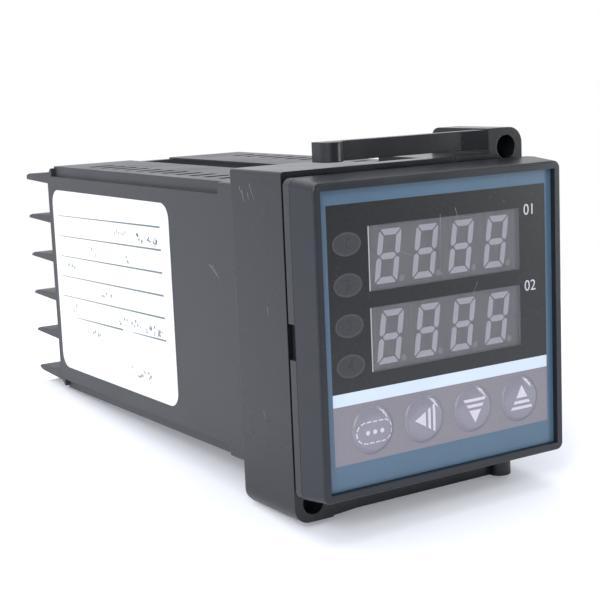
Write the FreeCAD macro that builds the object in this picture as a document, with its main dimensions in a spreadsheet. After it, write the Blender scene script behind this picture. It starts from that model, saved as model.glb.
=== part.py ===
import FreeCAD, Part
import os

import Sketcher

# A 48 x 48 mm panel-mount temperature controller: a square moulded case with a front that plugs into it,
# screw terminals behind tapered barriers, and a moulded frame that slides on from behind to clamp a panel.
# X runs across the front, Y into the panel, Z up; the origin is the middle of the panel's front face.

SIZES = {
    # shared
    "overrun": 1.0,
    "root_overlap": 0.2,
    # case
    "case_side": 44.8,
    "case_length": 89.0,
    "case_wall": 1.8,
    "case_edge_radius": 0.5,
    "cavity_corner_radius": 2.4,
    "flange_side": 48.0,
    "flange_depth": 1.6,
    "front_corner_radius": 1.2,
    "rebate_width": 1.1,
    "rebate_height": 1.9,
    "rebate_start": 22.0,
    "latch_slot_height": 5.4,
    "latch_slot_reach": 2.4,
    "track_start": 10.0,
    "track_width": 9.0,
    "track_depth": 0.3,
    "tooth_margin": 1.0,
    "tooth_pitch": 2.0,
    "tooth_depth": 0.6,
    "vent_length": 5.0,
    "vent_width": 1.8,
    "vent_pitch": 5.0,
    "vent_offset": 16.0,
    "vent_start": 27.0,
    "guide_width": 1.0,
    "guide_height": 2.0,
    "guide_start": 18.0,
    # rating label
    "label_thickness": 0.1,
    "label_length": 48.8,
    "label_height": 35.5,
    "label_corner_radius": 2.8,
    "label_end_margin": 1.0,
    "label_lift": 0.2,
    # rear terminal block
    "block_cap_depth": 2.0,
    "block_cap_side": 44.0,
    "block_cap_chamfer": 1.6,
    "block_plug_depth": 6.0,
    "block_clearance": 0.2,
    "barrier_length": 11.0,
    "barrier_root": 1.6,
    "barrier_tip": 0.8,
    "barrier_nose": 1.4,
    "end_barrier_extra": 0.5,
    "barrier_pitch": 7.9,
    "barrier_inner": 10.6,
    "barrier_outer": 21.9,
    "spine_width": 1.1,
    "spine_height": 7.5,
    "plateau_height": 3.0,
    # terminals
    "terminal_count": 5,
    "contact_width": 8.2,
    "contact_height": 5.6,
    "contact_thickness": 1.0,
    "tang_thickness": 0.8,
    "tang_height": 4.0,
    "tang_overlap": 4.0,
    "tang_gap": 0.25,
    "tang_slot_gap": 0.15,
    "screw_radius": 1.5,
    "screw_hole_depth": 6.0,
    "screw_end_gap": 0.3,
    "screw_head_radius": 2.7,
    "screw_head_height": 2.0,
    "screw_slot_width": 0.7,
    "screw_slot_depth": 1.0,
    "screw_hole_gap": 0.15,
    "washer_side": 5.4,
    "washer_thickness": 0.8,
    # mounting frame
    "frame_gap": 1.6,
    "frame_depth": 14.6,
    "frame_side_wall": 0.7,
    "frame_top_wall": 2.2,
    "frame_clearance": 0.2,
    "frame_edge_radius": 0.5,
    "ear_width": 7.0,
    "ear_rise": 4.0,
    "ear_corner_radius": 2.6,
    "ear_hole_radius": 1.9,
    "ear_hole_inset": 3.4,
    "ear_hole_drop": 3.1,
    "ear_heel_radius": 1.8,
    "arm_gap": 0.8,
    "arm_height": 3.0,
    "arm_front": 2.4,
    "arm_thickness": 1.9,
    "arm_ramp": 5.0,
    "upper_nose_inset": 7.4,
    "lower_nose_inset": 3.7,
    "nose_width": 3.8,
    "nose_front": 0.35,
    "nose_radius": 1.8,
    "pawl_width": 8.4,
    "pawl_slit": 0.9,
    "pawl_start": 5.0,
    "pawl_thickness": 1.3,
    "pawl_tooth_root": 0.3,
    "pawl_lift": 0.12,
    # front bezel
    "seam": 0.1,
    "bezel_depth": 5.4,
    "bezel_front_side": 47.0,
    "bezel_edge_radius": 0.35,
    "window_side": 44.6,
    "film_recess": 0.9,
    "film_thickness": 0.4,
    "film_gap": 0.05,
    "front_plate": 1.4,
    "hollow_side": 40.4,
    "arm_reach": 13.0,
    "snap_arm_width": 15.0,
    "snap_arm_thickness": 1.2,
    "snap_arm_gap": 0.3,
    "snap_hook": 0.5,
    "snap_hook_gap": 0.05,
    "snap_hook_flat": 0.6,
    "snap_hook_ramp": 1.4,
    # displays
    "display_across": 1.0,
    "upper_display_up": 11.75,
    "lower_display_up": -0.35,
    "pane_width": 29.0,
    "pane_height": 9.7,
    "pane_gap": 0.01,
    "display_width": 30.2,
    "display_height": 10.6,
    "display_depth": 6.0,
    "display_play": 0.15,
    "digit_count": 4,
    "digit_pitch": 6.94,
    "digit_shift": -0.35,
    "digit_width": 3.3,
    "digit_height": 7.1,
    "digit_slant": 0.147,
    "segment_width": 0.95,
    "segment_gap": 0.22,
    "segment_depth": 0.5,
    "point_radius": 0.45,
    "point_across": 2.9,
    # indicator lamps
    "lamp_across": -17.5,
    "lamp_top": 14.3,
    "lamp_pitch": 6.0,
    "lamp_side": 3.0,
    "lamp_hole_gap": 0.2,
    # keys
    "key_across": 0.5,
    "key_pitch": 9.63,
    "key_up": -13.8,
    "key_radius": 3.55,
    "key_crown": 0.35,
    "key_slit": 0.12,
    "plunger_radius": 1.7,
    "plunger_gap": 0.1,
    "plunger_foot": 0.8,
    "plunger_foot_height": 0.5,
    "switch_side": 6.0,
    "switch_height": 3.4,
    "switch_cover": 0.3,
    "switch_well": 1.7,
    # circuit boards
    "board_thickness": 1.6,
    "display_board_side": 40.0,
    "display_board_height": 37.4,
    "side_board_inner": 9.9,
    "side_board_half": 19.5,
    "side_board_end_gap": 9.0,
    "side_board_gap": 0.1,
    "guide_play": 0.25,
    # parts on the boards
    "header_width": 2.5,
    "header_depth": 2.5,
    "header_length": 30.5,
    "core_length": 22.0,
    "core_height": 24.0,
    "core_stack": 11.0,
    "core_start": 44.0,
    "core_bottom": -6.0,
    "core_limb": 4.0,
    "core_standoff": 3.2,
    "winding_play": 0.1,
    "winding_overhang": 2.8,
    "relay_length": 15.5,
    "relay_height": 19.0,
    "relay_width": 15.0,
    "relay_start": 22.0,
    "relay_bottom": -17.5,
    "capacitor_radius": 5.0,
    "capacitor_length": 13.5,
    "capacitor_up": 10.0,
    "capacitor_start": 19.0,
    "capacitor_pitch": 11.0,
    "chip_length": 35.0,
    "chip_height": 8.0,
    "chip_depth": 3.6,
    "chip_start": 24.0,
    "chip_up": 6.0,
    "small_chip_length": 10.0,
    "spacer_start": 70.0,
    "spacer_length": 3.0,
    "spacer_height": 22.0,
}

doc = FreeCAD.newDocument("temperature_controller")
sheet = doc.addObject("Spreadsheet::Sheet", "Sizes")
for row, (alias, size) in enumerate(SIZES.items(), start=1):
    sheet.set(f"A{row}", alias)
    sheet.set(f"B{row}", str(size))
    sheet.setAlias(f"B{row}", alias)
doc.recompute()

# Depths that several pieces share, as expressions over the sheet.
CAVITY_HALF = "(Sizes.case_side / 2 - Sizes.case_wall)"
BEZEL_BACK = "(-Sizes.flange_depth - Sizes.seam)"
BEZEL_FRONT = f"({BEZEL_BACK} - Sizes.bezel_depth)"
FILM_FRONT = f"({BEZEL_FRONT} + Sizes.film_recess)"
FILM_BACK = f"({FILM_FRONT} + Sizes.film_thickness)"
PLATE_BACK = f"({FILM_BACK} + Sizes.front_plate)"
DISPLAY_FACE = f"({FILM_BACK} + Sizes.film_gap)"
DISPLAY_BOARD_FRONT = f"({DISPLAY_FACE} + Sizes.display_depth)"
DISPLAY_BOARD_BACK = f"({DISPLAY_BOARD_FRONT} + Sizes.board_thickness)"
SWITCH_FRONT = f"({DISPLAY_BOARD_FRONT} - Sizes.switch_height)"
SIDE_BOARD_FRONT = f"({DISPLAY_BOARD_BACK} + Sizes.side_board_gap)"
SIDE_BOARD_OUTER = "(Sizes.side_board_inner + Sizes.board_thickness)"
SIDE_BOARD_END = "(Sizes.case_length - Sizes.side_board_end_gap)"
CAP_BACK = "(Sizes.case_length + Sizes.block_cap_depth)"
PLUG_FRONT = "(Sizes.case_length - Sizes.block_plug_depth)"
TANG_INNER = f"({SIDE_BOARD_OUTER} + Sizes.tang_gap)"
TERMINAL_ACROSS = f"({TANG_INNER} + Sizes.contact_width / 2)"
CONTACT_BACK = f"({CAP_BACK} + Sizes.contact_thickness)"
WASHER_BACK = f"({CONTACT_BACK} + Sizes.washer_thickness)"
FRAME_BACK = "(Sizes.frame_gap + Sizes.frame_depth)"
FRAME_INNER = "(Sizes.case_side / 2 + Sizes.frame_clearance)"
FRAME_SIDE = f"({FRAME_INNER} + Sizes.frame_side_wall)"
FRAME_TOP = f"({FRAME_INNER} + Sizes.frame_top_wall)"
EAR_INNER = f"({FRAME_SIDE} - Sizes.ear_width)"
EAR_TOP = f"({FRAME_TOP} + Sizes.ear_rise)"
CREST = "(Sizes.case_side / 2 - Sizes.track_depth)"
GUIDE_INNER = "(Sizes.side_board_inner - Sizes.guide_play)"
GUIDE_OUTER = f"({SIDE_BOARD_OUTER} + Sizes.guide_play)"
PLUNGER_FOOT_FRONT = f"({SWITCH_FRONT} + Sizes.switch_cover + Sizes.plunger_gap)"

KEYS = ("set", "shift", "down", "up")
LAMP_COUNT = 4

# Each view names the origin plane that its sketches lie on, and the sign of that plane's normal.
VIEWS = {"front": ("XZ_Plane", -1), "side": ("YZ_Plane", 1), "top": ("XY_Plane", 1)}


def value(expression):
    """The number that an expression over the sheet has now."""
    return float(sheet.evalExpression(expression))


def settle(body, feature):
    """Make the feature the body's result and recompute it."""
    body.Tip = feature
    doc.recompute()
    if "Invalid" in feature.State:
        raise ValueError(f"{body.Label}: {feature.Name} failed")
    return feature


def new_body(label):
    body = doc.addObject("PartDesign::Body", label)
    body.Label = label
    return body


def origin_part(body, role):
    """One of the body's own origin planes or axes."""
    return [part for part in body.Origin.OriginFeatures if part.Role == role][0]


def new_sketch(body, name, view, level):
    """A sketch on an origin plane of the body, moved to a level along that view's axis."""
    role, sign = VIEWS[view]
    sketch = body.newObject("Sketcher::SketchObject", name)
    sketch.AttachmentSupport = [(origin_part(body, role), "")]
    sketch.MapMode = "FlatFace"
    sketch.setExpression("AttachmentOffset.Base.z", level if sign > 0 else f"-({level})")
    return sketch


class Outline:
    """The lines and circles of one sketch, each point held to the sketch's origin by expressions."""

    def __init__(self):
        self.shapes = []
        self.joins = []
        self.holds = []

    def polygon(self, corners):
        """A closed outline whose corners are pairs of expressions."""
        first = len(self.shapes)
        count = len(corners)
        points = [FreeCAD.Vector(value(across), value(up), 0) for across, up in corners]
        for i in range(count):
            after = (i + 1) % count
            self.shapes.append(Part.LineSegment(points[i], points[after]))
            self.joins.append(Sketcher.Constraint("Coincident", first + i, 2, first + after, 1))
            self.holds.append(("DistanceX", first + i, 1, corners[i][0], points[i].x))
            self.holds.append(("DistanceY", first + i, 1, corners[i][1], points[i].y))

    def rectangle(self, left, right, bottom, top):
        self.polygon([(left, bottom), (right, bottom), (right, top), (left, top)])

    def square(self, half):
        self.rectangle(f"-({half})", half, f"-({half})", half)

    def square_at(self, across, up, half):
        left, right = f"{across} - ({half})", f"{across} + ({half})"
        self.rectangle(left, right, f"{up} - ({half})", f"{up} + ({half})")

    def octagon(self, across, up, radius):
        """A regular octagon, given by the radius to its flats."""
        flat = f"({radius}) * tan(22.5deg)"
        reach = f"({radius})"
        corners = [(flat, reach), (reach, flat), (reach, f"-{flat}"), (flat, f"-{reach}")]
        corners += [(f"-{flat}", f"-{reach}"), (f"-{reach}", f"-{flat}")]
        corners += [(f"-{reach}", flat), (f"-{flat}", reach)]
        self.polygon([(f"{across} + {right}", f"{up} + {above}") for right, above in corners])

    def circle(self, across, up, radius):
        shape = len(self.shapes)
        centre = FreeCAD.Vector(value(across), value(up), 0)
        self.shapes.append(Part.Circle(centre, FreeCAD.Vector(0, 0, 1), value(radius)))
        self.holds.append(("DistanceX", shape, 3, across, centre.x))
        self.holds.append(("DistanceY", shape, 3, up, centre.y))
        self.holds.append(("Radius", shape, None, radius, value(radius)))

    def put_on(self, sketch):
        sketch.addGeometry(self.shapes)
        constraints = list(self.joins)
        for kind, shape, point, _, size in self.holds:
            if kind == "Radius":
                constraints.append(Sketcher.Constraint(kind, shape, size))
            else:
                constraints.append(Sketcher.Constraint(kind, -1, 1, shape, point, size))
        sketch.addConstraint(constraints)
        for index, (_, _, _, expression, _) in enumerate(self.holds, start=len(self.joins)):
            sketch.setExpression(f"Constraints[{index}]", expression)


def add_pad(body, name, view, draw, low, high):
    """Material between two levels along the view's axis, with the outlines that draw() makes."""
    sketch = new_sketch(body, f"{name}_sketch", view, low if VIEWS[view][1] > 0 else high)
    outline = Outline()
    draw(outline)
    outline.put_on(sketch)
    pad = body.newObject("PartDesign::Pad", name)
    pad.Profile = sketch
    pad.setExpression("Length", f"({high}) - ({low})")
    return settle(body, pad)


def cut_pocket(body, name, view, draw, low, high):
    """Remove material between two levels along the view's axis; it has to take something away."""
    before = body.Shape.Volume
    sketch = new_sketch(body, f"{name}_sketch", view, high if VIEWS[view][1] > 0 else low)
    outline = Outline()
    draw(outline)
    outline.put_on(sketch)
    pocket = body.newObject("PartDesign::Pocket", name)
    pocket.Profile = sketch
    pocket.setExpression("Length", f"({high}) - ({low})")
    settle(body, pocket)
    if body.Shape.Volume >= before - 1e-6:
        raise ValueError(f"{body.Label}: {name} cuts nothing")
    return pocket


def repeat_along(body, name, features, role, step, count):
    pattern = body.newObject("PartDesign::LinearPattern", name)
    pattern.Originals = features
    pattern.Direction = (origin_part(body, role), [""])
    pattern.setExpression("Length", f"({step}) * ({count} - 1)")
    pattern.setExpression("Occurrences", count)
    return settle(body, pattern)


def half_turn(body, name, features):
    """The same features again, turned half a turn about the depth axis."""
    pattern = body.newObject("PartDesign::PolarPattern", name)
    pattern.Originals = features
    pattern.Axis = (origin_part(body, "Y_Axis"), [""])
    pattern.Angle = 360
    pattern.Occurrences = 2
    return settle(body, pattern)


def edges_where(shape, test):
    return [f"Edge{i}" for i, edge in enumerate(shape.Edges, start=1) if test(edge)]


def near(number, target):
    return abs(number - target) < 1e-4


def runs_in_depth(edge):
    box = edge.BoundBox
    return box.XLength < 1e-4 and box.ZLength < 1e-4 and box.YLength > 1e-4


def runs_across(edge):
    box = edge.BoundBox
    return box.YLength < 1e-4 and box.ZLength < 1e-4 and box.XLength > 1e-4


def round_edges(body, name, edges, radius):
    base = body.Tip
    fillet = body.newObject("PartDesign::Fillet", name)
    fillet.Base = (base, edges)
    fillet.setExpression("Radius", radius)
    return settle(body, fillet)


def bevel_edges(body, name, edges, size):
    base = body.Tip
    chamfer = body.newObject("PartDesign::Chamfer", name)
    chamfer.Base = (base, edges)
    chamfer.setExpression("Size", size)
    return settle(body, chamfer)


def box(name, left, right, low, high, bottom, top):
    """A block between two limits on each axis."""
    block = doc.addObject("Part::Box", name)
    block.setExpression("Length", f"({right}) - ({left})")
    block.setExpression("Width", f"({high}) - ({low})")
    block.setExpression("Height", f"({top}) - ({bottom})")
    block.setExpression("Placement.Base.x", left)
    block.setExpression("Placement.Base.y", low)
    block.setExpression("Placement.Base.z", bottom)
    return block


def square_block(name, across, up, half, low, high):
    """A block with a square face to the front, given by its centre and half its side."""
    left, right = f"{across} - ({half})", f"{across} + ({half})"
    return box(name, left, right, low, high, f"{up} - ({half})", f"{up} + ({half})")


TURN_TO_DEPTH = FreeCAD.Rotation(FreeCAD.Vector(1, 0, 0), -90)
TURN_TO_SIDE = FreeCAD.Rotation(FreeCAD.Vector(0, 1, 0), 90)


def rod(name, across, up, radius, low, high):
    """A cylinder along Y between two depths."""
    cylinder = doc.addObject("Part::Cylinder", name)
    cylinder.setExpression("Radius", radius)
    cylinder.setExpression("Height", f"({high}) - ({low})")
    cylinder.Placement = FreeCAD.Placement(FreeCAD.Vector(), TURN_TO_DEPTH)
    cylinder.setExpression("Placement.Base.x", across)
    cylinder.setExpression("Placement.Base.y", low)
    cylinder.setExpression("Placement.Base.z", up)
    return cylinder


def side_rod(name, left, right, depth, up, radius):
    """A cylinder along X between two limits."""
    cylinder = doc.addObject("Part::Cylinder", name)
    cylinder.setExpression("Radius", radius)
    cylinder.setExpression("Height", f"({right}) - ({left})")
    cylinder.Placement = FreeCAD.Placement(FreeCAD.Vector(), TURN_TO_SIDE)
    cylinder.setExpression("Placement.Base.x", left)
    cylinder.setExpression("Placement.Base.y", depth)
    cylinder.setExpression("Placement.Base.z", up)
    return cylinder


def join(label, shapes):
    fusion = doc.addObject("Part::MultiFuse", label)
    fusion.Shapes = shapes
    fusion.Refine = True
    fusion.Label = label
    return fusion


def take(label, base, tool):
    result = doc.addObject("Part::Cut", label)
    result.Base = base
    result.Tool = tool
    result.Label = label
    return result


def gather(label, shapes):
    """A group of separate solids in one node."""
    group = doc.addObject("Part::Compound", label)
    group.Links = shapes
    group.Label = label
    return group


def make_housing():
    """Square moulded case: a front flange, notched long edges, ratchet tracks, vents and board guides."""
    body = new_body("housing")
    half = "(Sizes.case_side / 2)"
    rear = "Sizes.case_length"
    add_pad(body, "tube", "front", lambda o: o.square(half), "0", rear)
    long_edges = edges_where(body.Shape, runs_in_depth)
    round_edges(body, "tube_edges", long_edges, "Sizes.case_edge_radius")
    flange_half = "(Sizes.flange_side / 2)"
    add_pad(body, "flange", "front", lambda o: o.square(flange_half), "-Sizes.flange_depth", "0")
    corner = value(flange_half)
    flange_edges = edges_where(
        body.Shape, lambda e: runs_in_depth(e) and near(abs(e.CenterOfMass.x), corner)
    )
    round_edges(body, "flange_corners", flange_edges, "Sizes.front_corner_radius")
    cut_pocket(body, "cavity", "front", lambda o: o.square(CAVITY_HALF), "-Sizes.flange_depth", rear)
    inside = value(CAVITY_HALF)
    cavity_edges = edges_where(
        body.Shape, lambda e: runs_in_depth(e) and near(abs(e.CenterOfMass.x), inside)
    )
    round_edges(body, "cavity_corners", cavity_edges, "Sizes.cavity_corner_radius")

    def draw_rebates(outline):
        for side in ("", "-"):
            for level in ("", "-"):
                outline.rectangle(
                    f"{side}({half} - Sizes.rebate_width)",
                    f"{side}({half} + Sizes.rebate_width)",
                    f"{level}({half} - Sizes.rebate_height)",
                    f"{level}({half} + Sizes.rebate_height)",
                )

    cut_pocket(body, "edge_rebates", "front", draw_rebates, "Sizes.rebate_start", rear)

    def draw_latch_slot(outline):
        outline.rectangle(
            f"-{flange_half} - Sizes.overrun",
            f"-{flange_half} + Sizes.latch_slot_reach",
            "-Sizes.latch_slot_height / 2",
            "Sizes.latch_slot_height / 2",
        )

    cut_pocket(body, "latch_slot", "front", draw_latch_slot, "-Sizes.flange_depth", "0")

    def draw_tracks(outline):
        edge = "(Sizes.track_width / 2)"
        for level in ("", "-"):
            outline.rectangle(f"-{edge}", edge, f"{level}{CREST}", f"{level}({half} + Sizes.overrun)")

    cut_pocket(body, "tracks", "front", draw_tracks, "Sizes.track_start", rear)

    def draw_tooth(outline):
        # A ramp that deepens towards the rear and ends in a steep face.
        start = "(Sizes.track_start + Sizes.tooth_margin)"
        for level in ("", "-"):
            outline.polygon([
                (start, f"{level}({CREST})"),
                (f"{start} + Sizes.tooth_pitch", f"{level}({CREST})"),
                (f"{start} + Sizes.tooth_pitch", f"{level}({CREST} - Sizes.tooth_depth)"),
            ])

    tooth = cut_pocket(
        body, "ratchet_tooth", "side", draw_tooth, "-Sizes.track_width / 2", "Sizes.track_width / 2"
    )
    track_length = f"({rear} - Sizes.track_start - 2 * Sizes.tooth_margin)"
    tooth_count = f"floor({track_length} / Sizes.tooth_pitch)"
    repeat_along(body, "ratchet_teeth", [tooth], "Y_Axis", "Sizes.tooth_pitch", tooth_count)

    def draw_vents(outline):
        for side in ("", "-"):
            outline.rectangle(
                f"{side}(Sizes.vent_offset - Sizes.vent_length / 2)",
                f"{side}(Sizes.vent_offset + Sizes.vent_length / 2)",
                "Sizes.vent_start",
                "Sizes.vent_start + Sizes.vent_width",
            )

    outside = f"({half} + Sizes.overrun)"
    vent = cut_pocket(body, "vent", "top", draw_vents, f"-{outside}", outside)
    vent_count = f"floor(({PLUG_FRONT} - Sizes.vent_start) / Sizes.vent_pitch)"
    repeat_along(body, "vents", [vent], "Y_Axis", "Sizes.vent_pitch", vent_count)

    def draw_guides(outline):
        for side in ("", "-"):
            for level in ("", "-"):
                crest = f"{level}({CAVITY_HALF} - Sizes.guide_height)"
                root = f"{level}({CAVITY_HALF} + Sizes.root_overlap)"
                inner_rib = f"{side}({GUIDE_INNER} - Sizes.guide_width)"
                outer_rib = f"{side}({GUIDE_OUTER} + Sizes.guide_width)"
                outline.rectangle(inner_rib, f"{side}{GUIDE_INNER}", crest, root)
                outline.rectangle(f"{side}{GUIDE_OUTER}", outer_rib, crest, root)

    add_pad(body, "board_guides", "front", draw_guides, "Sizes.guide_start", SIDE_BOARD_END)
    return body


def make_label():
    """Stuck-on rating label on the left side."""
    body = new_body("rating_label")
    rear = "(Sizes.case_length - Sizes.label_end_margin)"

    def draw(outline):
        outline.rectangle(
            f"{rear} - Sizes.label_length",
            rear,
            "Sizes.label_lift - Sizes.label_height / 2",
            "Sizes.label_lift + Sizes.label_height / 2",
        )

    surface = "-Sizes.case_side / 2"
    add_pad(body, "label_sheet", "side", draw, f"{surface} - Sizes.label_thickness", surface)
    corners = edges_where(body.Shape, lambda e: e.BoundBox.XLength > 1e-4 and e.BoundBox.YLength < 1e-4)
    round_edges(body, "label_corners", corners, "Sizes.label_corner_radius")
    return body


def terminal_up(index):
    """Height of a terminal's centre; index 0 is the lowest."""
    return f"(({index} - (Sizes.terminal_count - 1) / 2) * Sizes.barrier_pitch)"


def each_terminal():
    """Side sign, index and height of every terminal."""
    for side, sign in (("left", "-"), ("right", "")):
        for index in range(int(SIZES["terminal_count"])):
            yield side, sign, index, terminal_up(index)


def make_terminal_block():
    """Rear moulding: a plug in the case, a cap over its edge, and tapered barriers between the terminals."""
    body = new_body("rear_terminal_block")
    cap_half = "(Sizes.block_cap_side / 2)"
    plug_half = f"({CAVITY_HALF} - Sizes.block_clearance)"
    add_pad(body, "cap", "front", lambda o: o.square(cap_half), "Sizes.case_length", CAP_BACK)
    edge_up = value(cap_half)
    rear = value(CAP_BACK)
    cap_edges = edges_where(
        body.Shape,
        lambda e: runs_across(e) and near(abs(e.CenterOfMass.z), edge_up) and near(e.CenterOfMass.y, rear),
    )
    bevel_edges(body, "cap_chamfers", cap_edges, "Sizes.block_cap_chamfer")
    add_pad(body, "plug", "front", lambda o: o.square(plug_half), PLUG_FRONT, "Sizes.case_length")
    corner = value(plug_half)
    plug_edges = edges_where(body.Shape, lambda e: runs_in_depth(e) and near(abs(e.CenterOfMass.x), corner))
    round_edges(body, "plug_corners", plug_edges, "Sizes.cavity_corner_radius")

    highest = "(Sizes.barrier_pitch * Sizes.terminal_count / 2)"
    inner = "(Sizes.barrier_inner - Sizes.spine_width)"

    def draw_plateau(outline):
        outline.rectangle(f"-{inner}", inner, f"-{highest}", highest)

    add_pad(body, "plateau", "front", draw_plateau, CAP_BACK, f"{CAP_BACK} + Sizes.plateau_height")

    def draw_spine(outline):
        root = "(Sizes.barrier_inner + Sizes.root_overlap)"
        for side in ("", "-"):
            outline.rectangle(f"{side}{inner}", f"{side}{root}", f"-{highest}", highest)

    add_pad(body, "spines", "front", draw_spine, CAP_BACK, f"{CAP_BACK} + Sizes.spine_height")

    tip = f"({CAP_BACK} + Sizes.barrier_length)"

    def draw_barrier(outline):
        # A thin blade: thick at the root, thin at the tip, with its upper corner cut back.
        outline.polygon([
            (CAP_BACK, f"-{highest} - Sizes.barrier_root / 2"),
            (tip, f"-{highest} - Sizes.barrier_tip / 2"),
            (tip, f"-{highest}"),
            (f"{tip} - Sizes.barrier_nose", f"-{highest} + Sizes.barrier_tip / 2"),
            (CAP_BACK, f"-{highest} + Sizes.barrier_root / 2"),
        ])

    def draw_end_barriers(outline):
        # The blades past the first and the last terminal are thicker on their outer side.
        for level in ("", "-"):
            outline.polygon([
                (CAP_BACK, f"{level}{highest}"),
                (CAP_BACK, f"{level}({highest} + Sizes.barrier_root / 2 + Sizes.end_barrier_extra)"),
                (f"{tip} - Sizes.barrier_nose", f"{level}({highest} + Sizes.barrier_root / 2)"),
                (tip, f"{level}({highest} + Sizes.barrier_tip / 2)"),
                (tip, f"{level}{highest}"),
            ])

    sides = (("right", "Sizes.barrier_inner", "Sizes.barrier_outer"),
             ("left", "-Sizes.barrier_outer", "-Sizes.barrier_inner"))
    for side, start, end in sides:
        barrier = add_pad(body, f"{side}_barrier", "side", draw_barrier, start, end)
        count = "Sizes.terminal_count + 1"
        repeat_along(body, f"{side}_barriers", [barrier], "Z_Axis", "Sizes.barrier_pitch", count)
        add_pad(body, f"{side}_end_barriers", "side", draw_end_barriers, start, end)

    def draw_tang_slots(outline):
        gap = "Sizes.tang_slot_gap"
        for _, sign, _, up in each_terminal():
            outline.rectangle(
                f"{sign}({TANG_INNER} - {gap})",
                f"{sign}({TANG_INNER} + Sizes.tang_thickness + {gap})",
                f"{up} - Sizes.tang_height / 2 - {gap}",
                f"{up} + Sizes.tang_height / 2 + {gap}",
            )

    cut_pocket(body, "tang_slots", "front", draw_tang_slots, PLUG_FRONT, CAP_BACK)

    def draw_screw_wells(outline):
        # Square wells behind the contact strips leave room for the screws' ends.
        for _, sign, _, up in each_terminal():
            half = "Sizes.screw_radius + Sizes.screw_hole_gap"
            outline.square_at(f"{sign}{TERMINAL_ACROSS}", up, half)

    well_end = f"{CONTACT_BACK} - Sizes.screw_hole_depth"
    cut_pocket(body, "screw_wells", "front", draw_screw_wells, well_end, CAP_BACK)
    return body


def make_terminals():
    """Contact strips, clamp washers and screws of the ten terminals."""
    contacts = []
    washers = []
    screws = []
    for side, sign, index, up in each_terminal():
        name = f"{side}_{index + 1}"
        outer = f"({TANG_INNER} + Sizes.contact_width)"
        left, right = (TANG_INNER, outer) if sign == "" else (f"-{outer}", f"-{TANG_INNER}")
        half = "Sizes.contact_height / 2"
        plate = box(
            f"contact_plate_{name}", left, right, CAP_BACK, CONTACT_BACK, f"{up} - {half}", f"{up} + {half}"
        )
        tang_end = f"({TANG_INNER} + Sizes.tang_thickness)"
        left, right = (TANG_INNER, tang_end) if sign == "" else (f"-{tang_end}", f"-{TANG_INNER}")
        tang = box(
            f"tang_{name}",
            left,
            right,
            f"{SIDE_BOARD_END} - Sizes.tang_overlap",
            CONTACT_BACK,
            f"{up} - Sizes.tang_height / 2",
            f"{up} + Sizes.tang_height / 2",
        )
        across = f"{sign}{TERMINAL_ACROSS}"
        hole_radius = "Sizes.screw_radius + Sizes.screw_hole_gap"
        hole_front = f"{CAP_BACK} - Sizes.overrun"
        hole_back = f"{WASHER_BACK} + Sizes.overrun"
        hole = rod(f"contact_hole_{name}", across, up, hole_radius, hole_front, hole_back)
        contacts.append(take(f"contact_{name}", join(f"contact_blank_{name}", [plate, tang]), hole))
        side_half = "Sizes.washer_side / 2"
        square = square_block(f"washer_square_{name}", across, up, side_half, CONTACT_BACK, WASHER_BACK)
        eye = rod(f"washer_eye_{name}", across, up, hole_radius, hole_front, hole_back)
        washers.append(take(f"washer_{name}", square, eye))
        shank_end = f"{CONTACT_BACK} - Sizes.screw_hole_depth + Sizes.screw_end_gap"
        shank = rod(f"screw_shank_{name}", across, up, "Sizes.screw_radius", shank_end, WASHER_BACK)
        head_back = f"({WASHER_BACK} + Sizes.screw_head_height)"
        head = rod(f"screw_head_{name}", across, up, "Sizes.screw_head_radius", WASHER_BACK, head_back)
        slot_half = "Sizes.screw_slot_width / 2"
        slot = box(
            f"screw_slot_{name}",
            f"{across} - Sizes.screw_head_radius - Sizes.overrun",
            f"{across} + Sizes.screw_head_radius + Sizes.overrun",
            f"{head_back} - Sizes.screw_slot_depth",
            f"{head_back} + Sizes.overrun",
            f"{up} - {slot_half}",
            f"{up} + {slot_half}",
        )
        screws.append(take(f"screw_{name}", join(f"screw_blank_{name}", [shank, head]), slot))
    return [
        gather("terminal_contacts", contacts),
        gather("clamp_washers", washers),
        gather("terminal_screws", screws),
    ]


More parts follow.
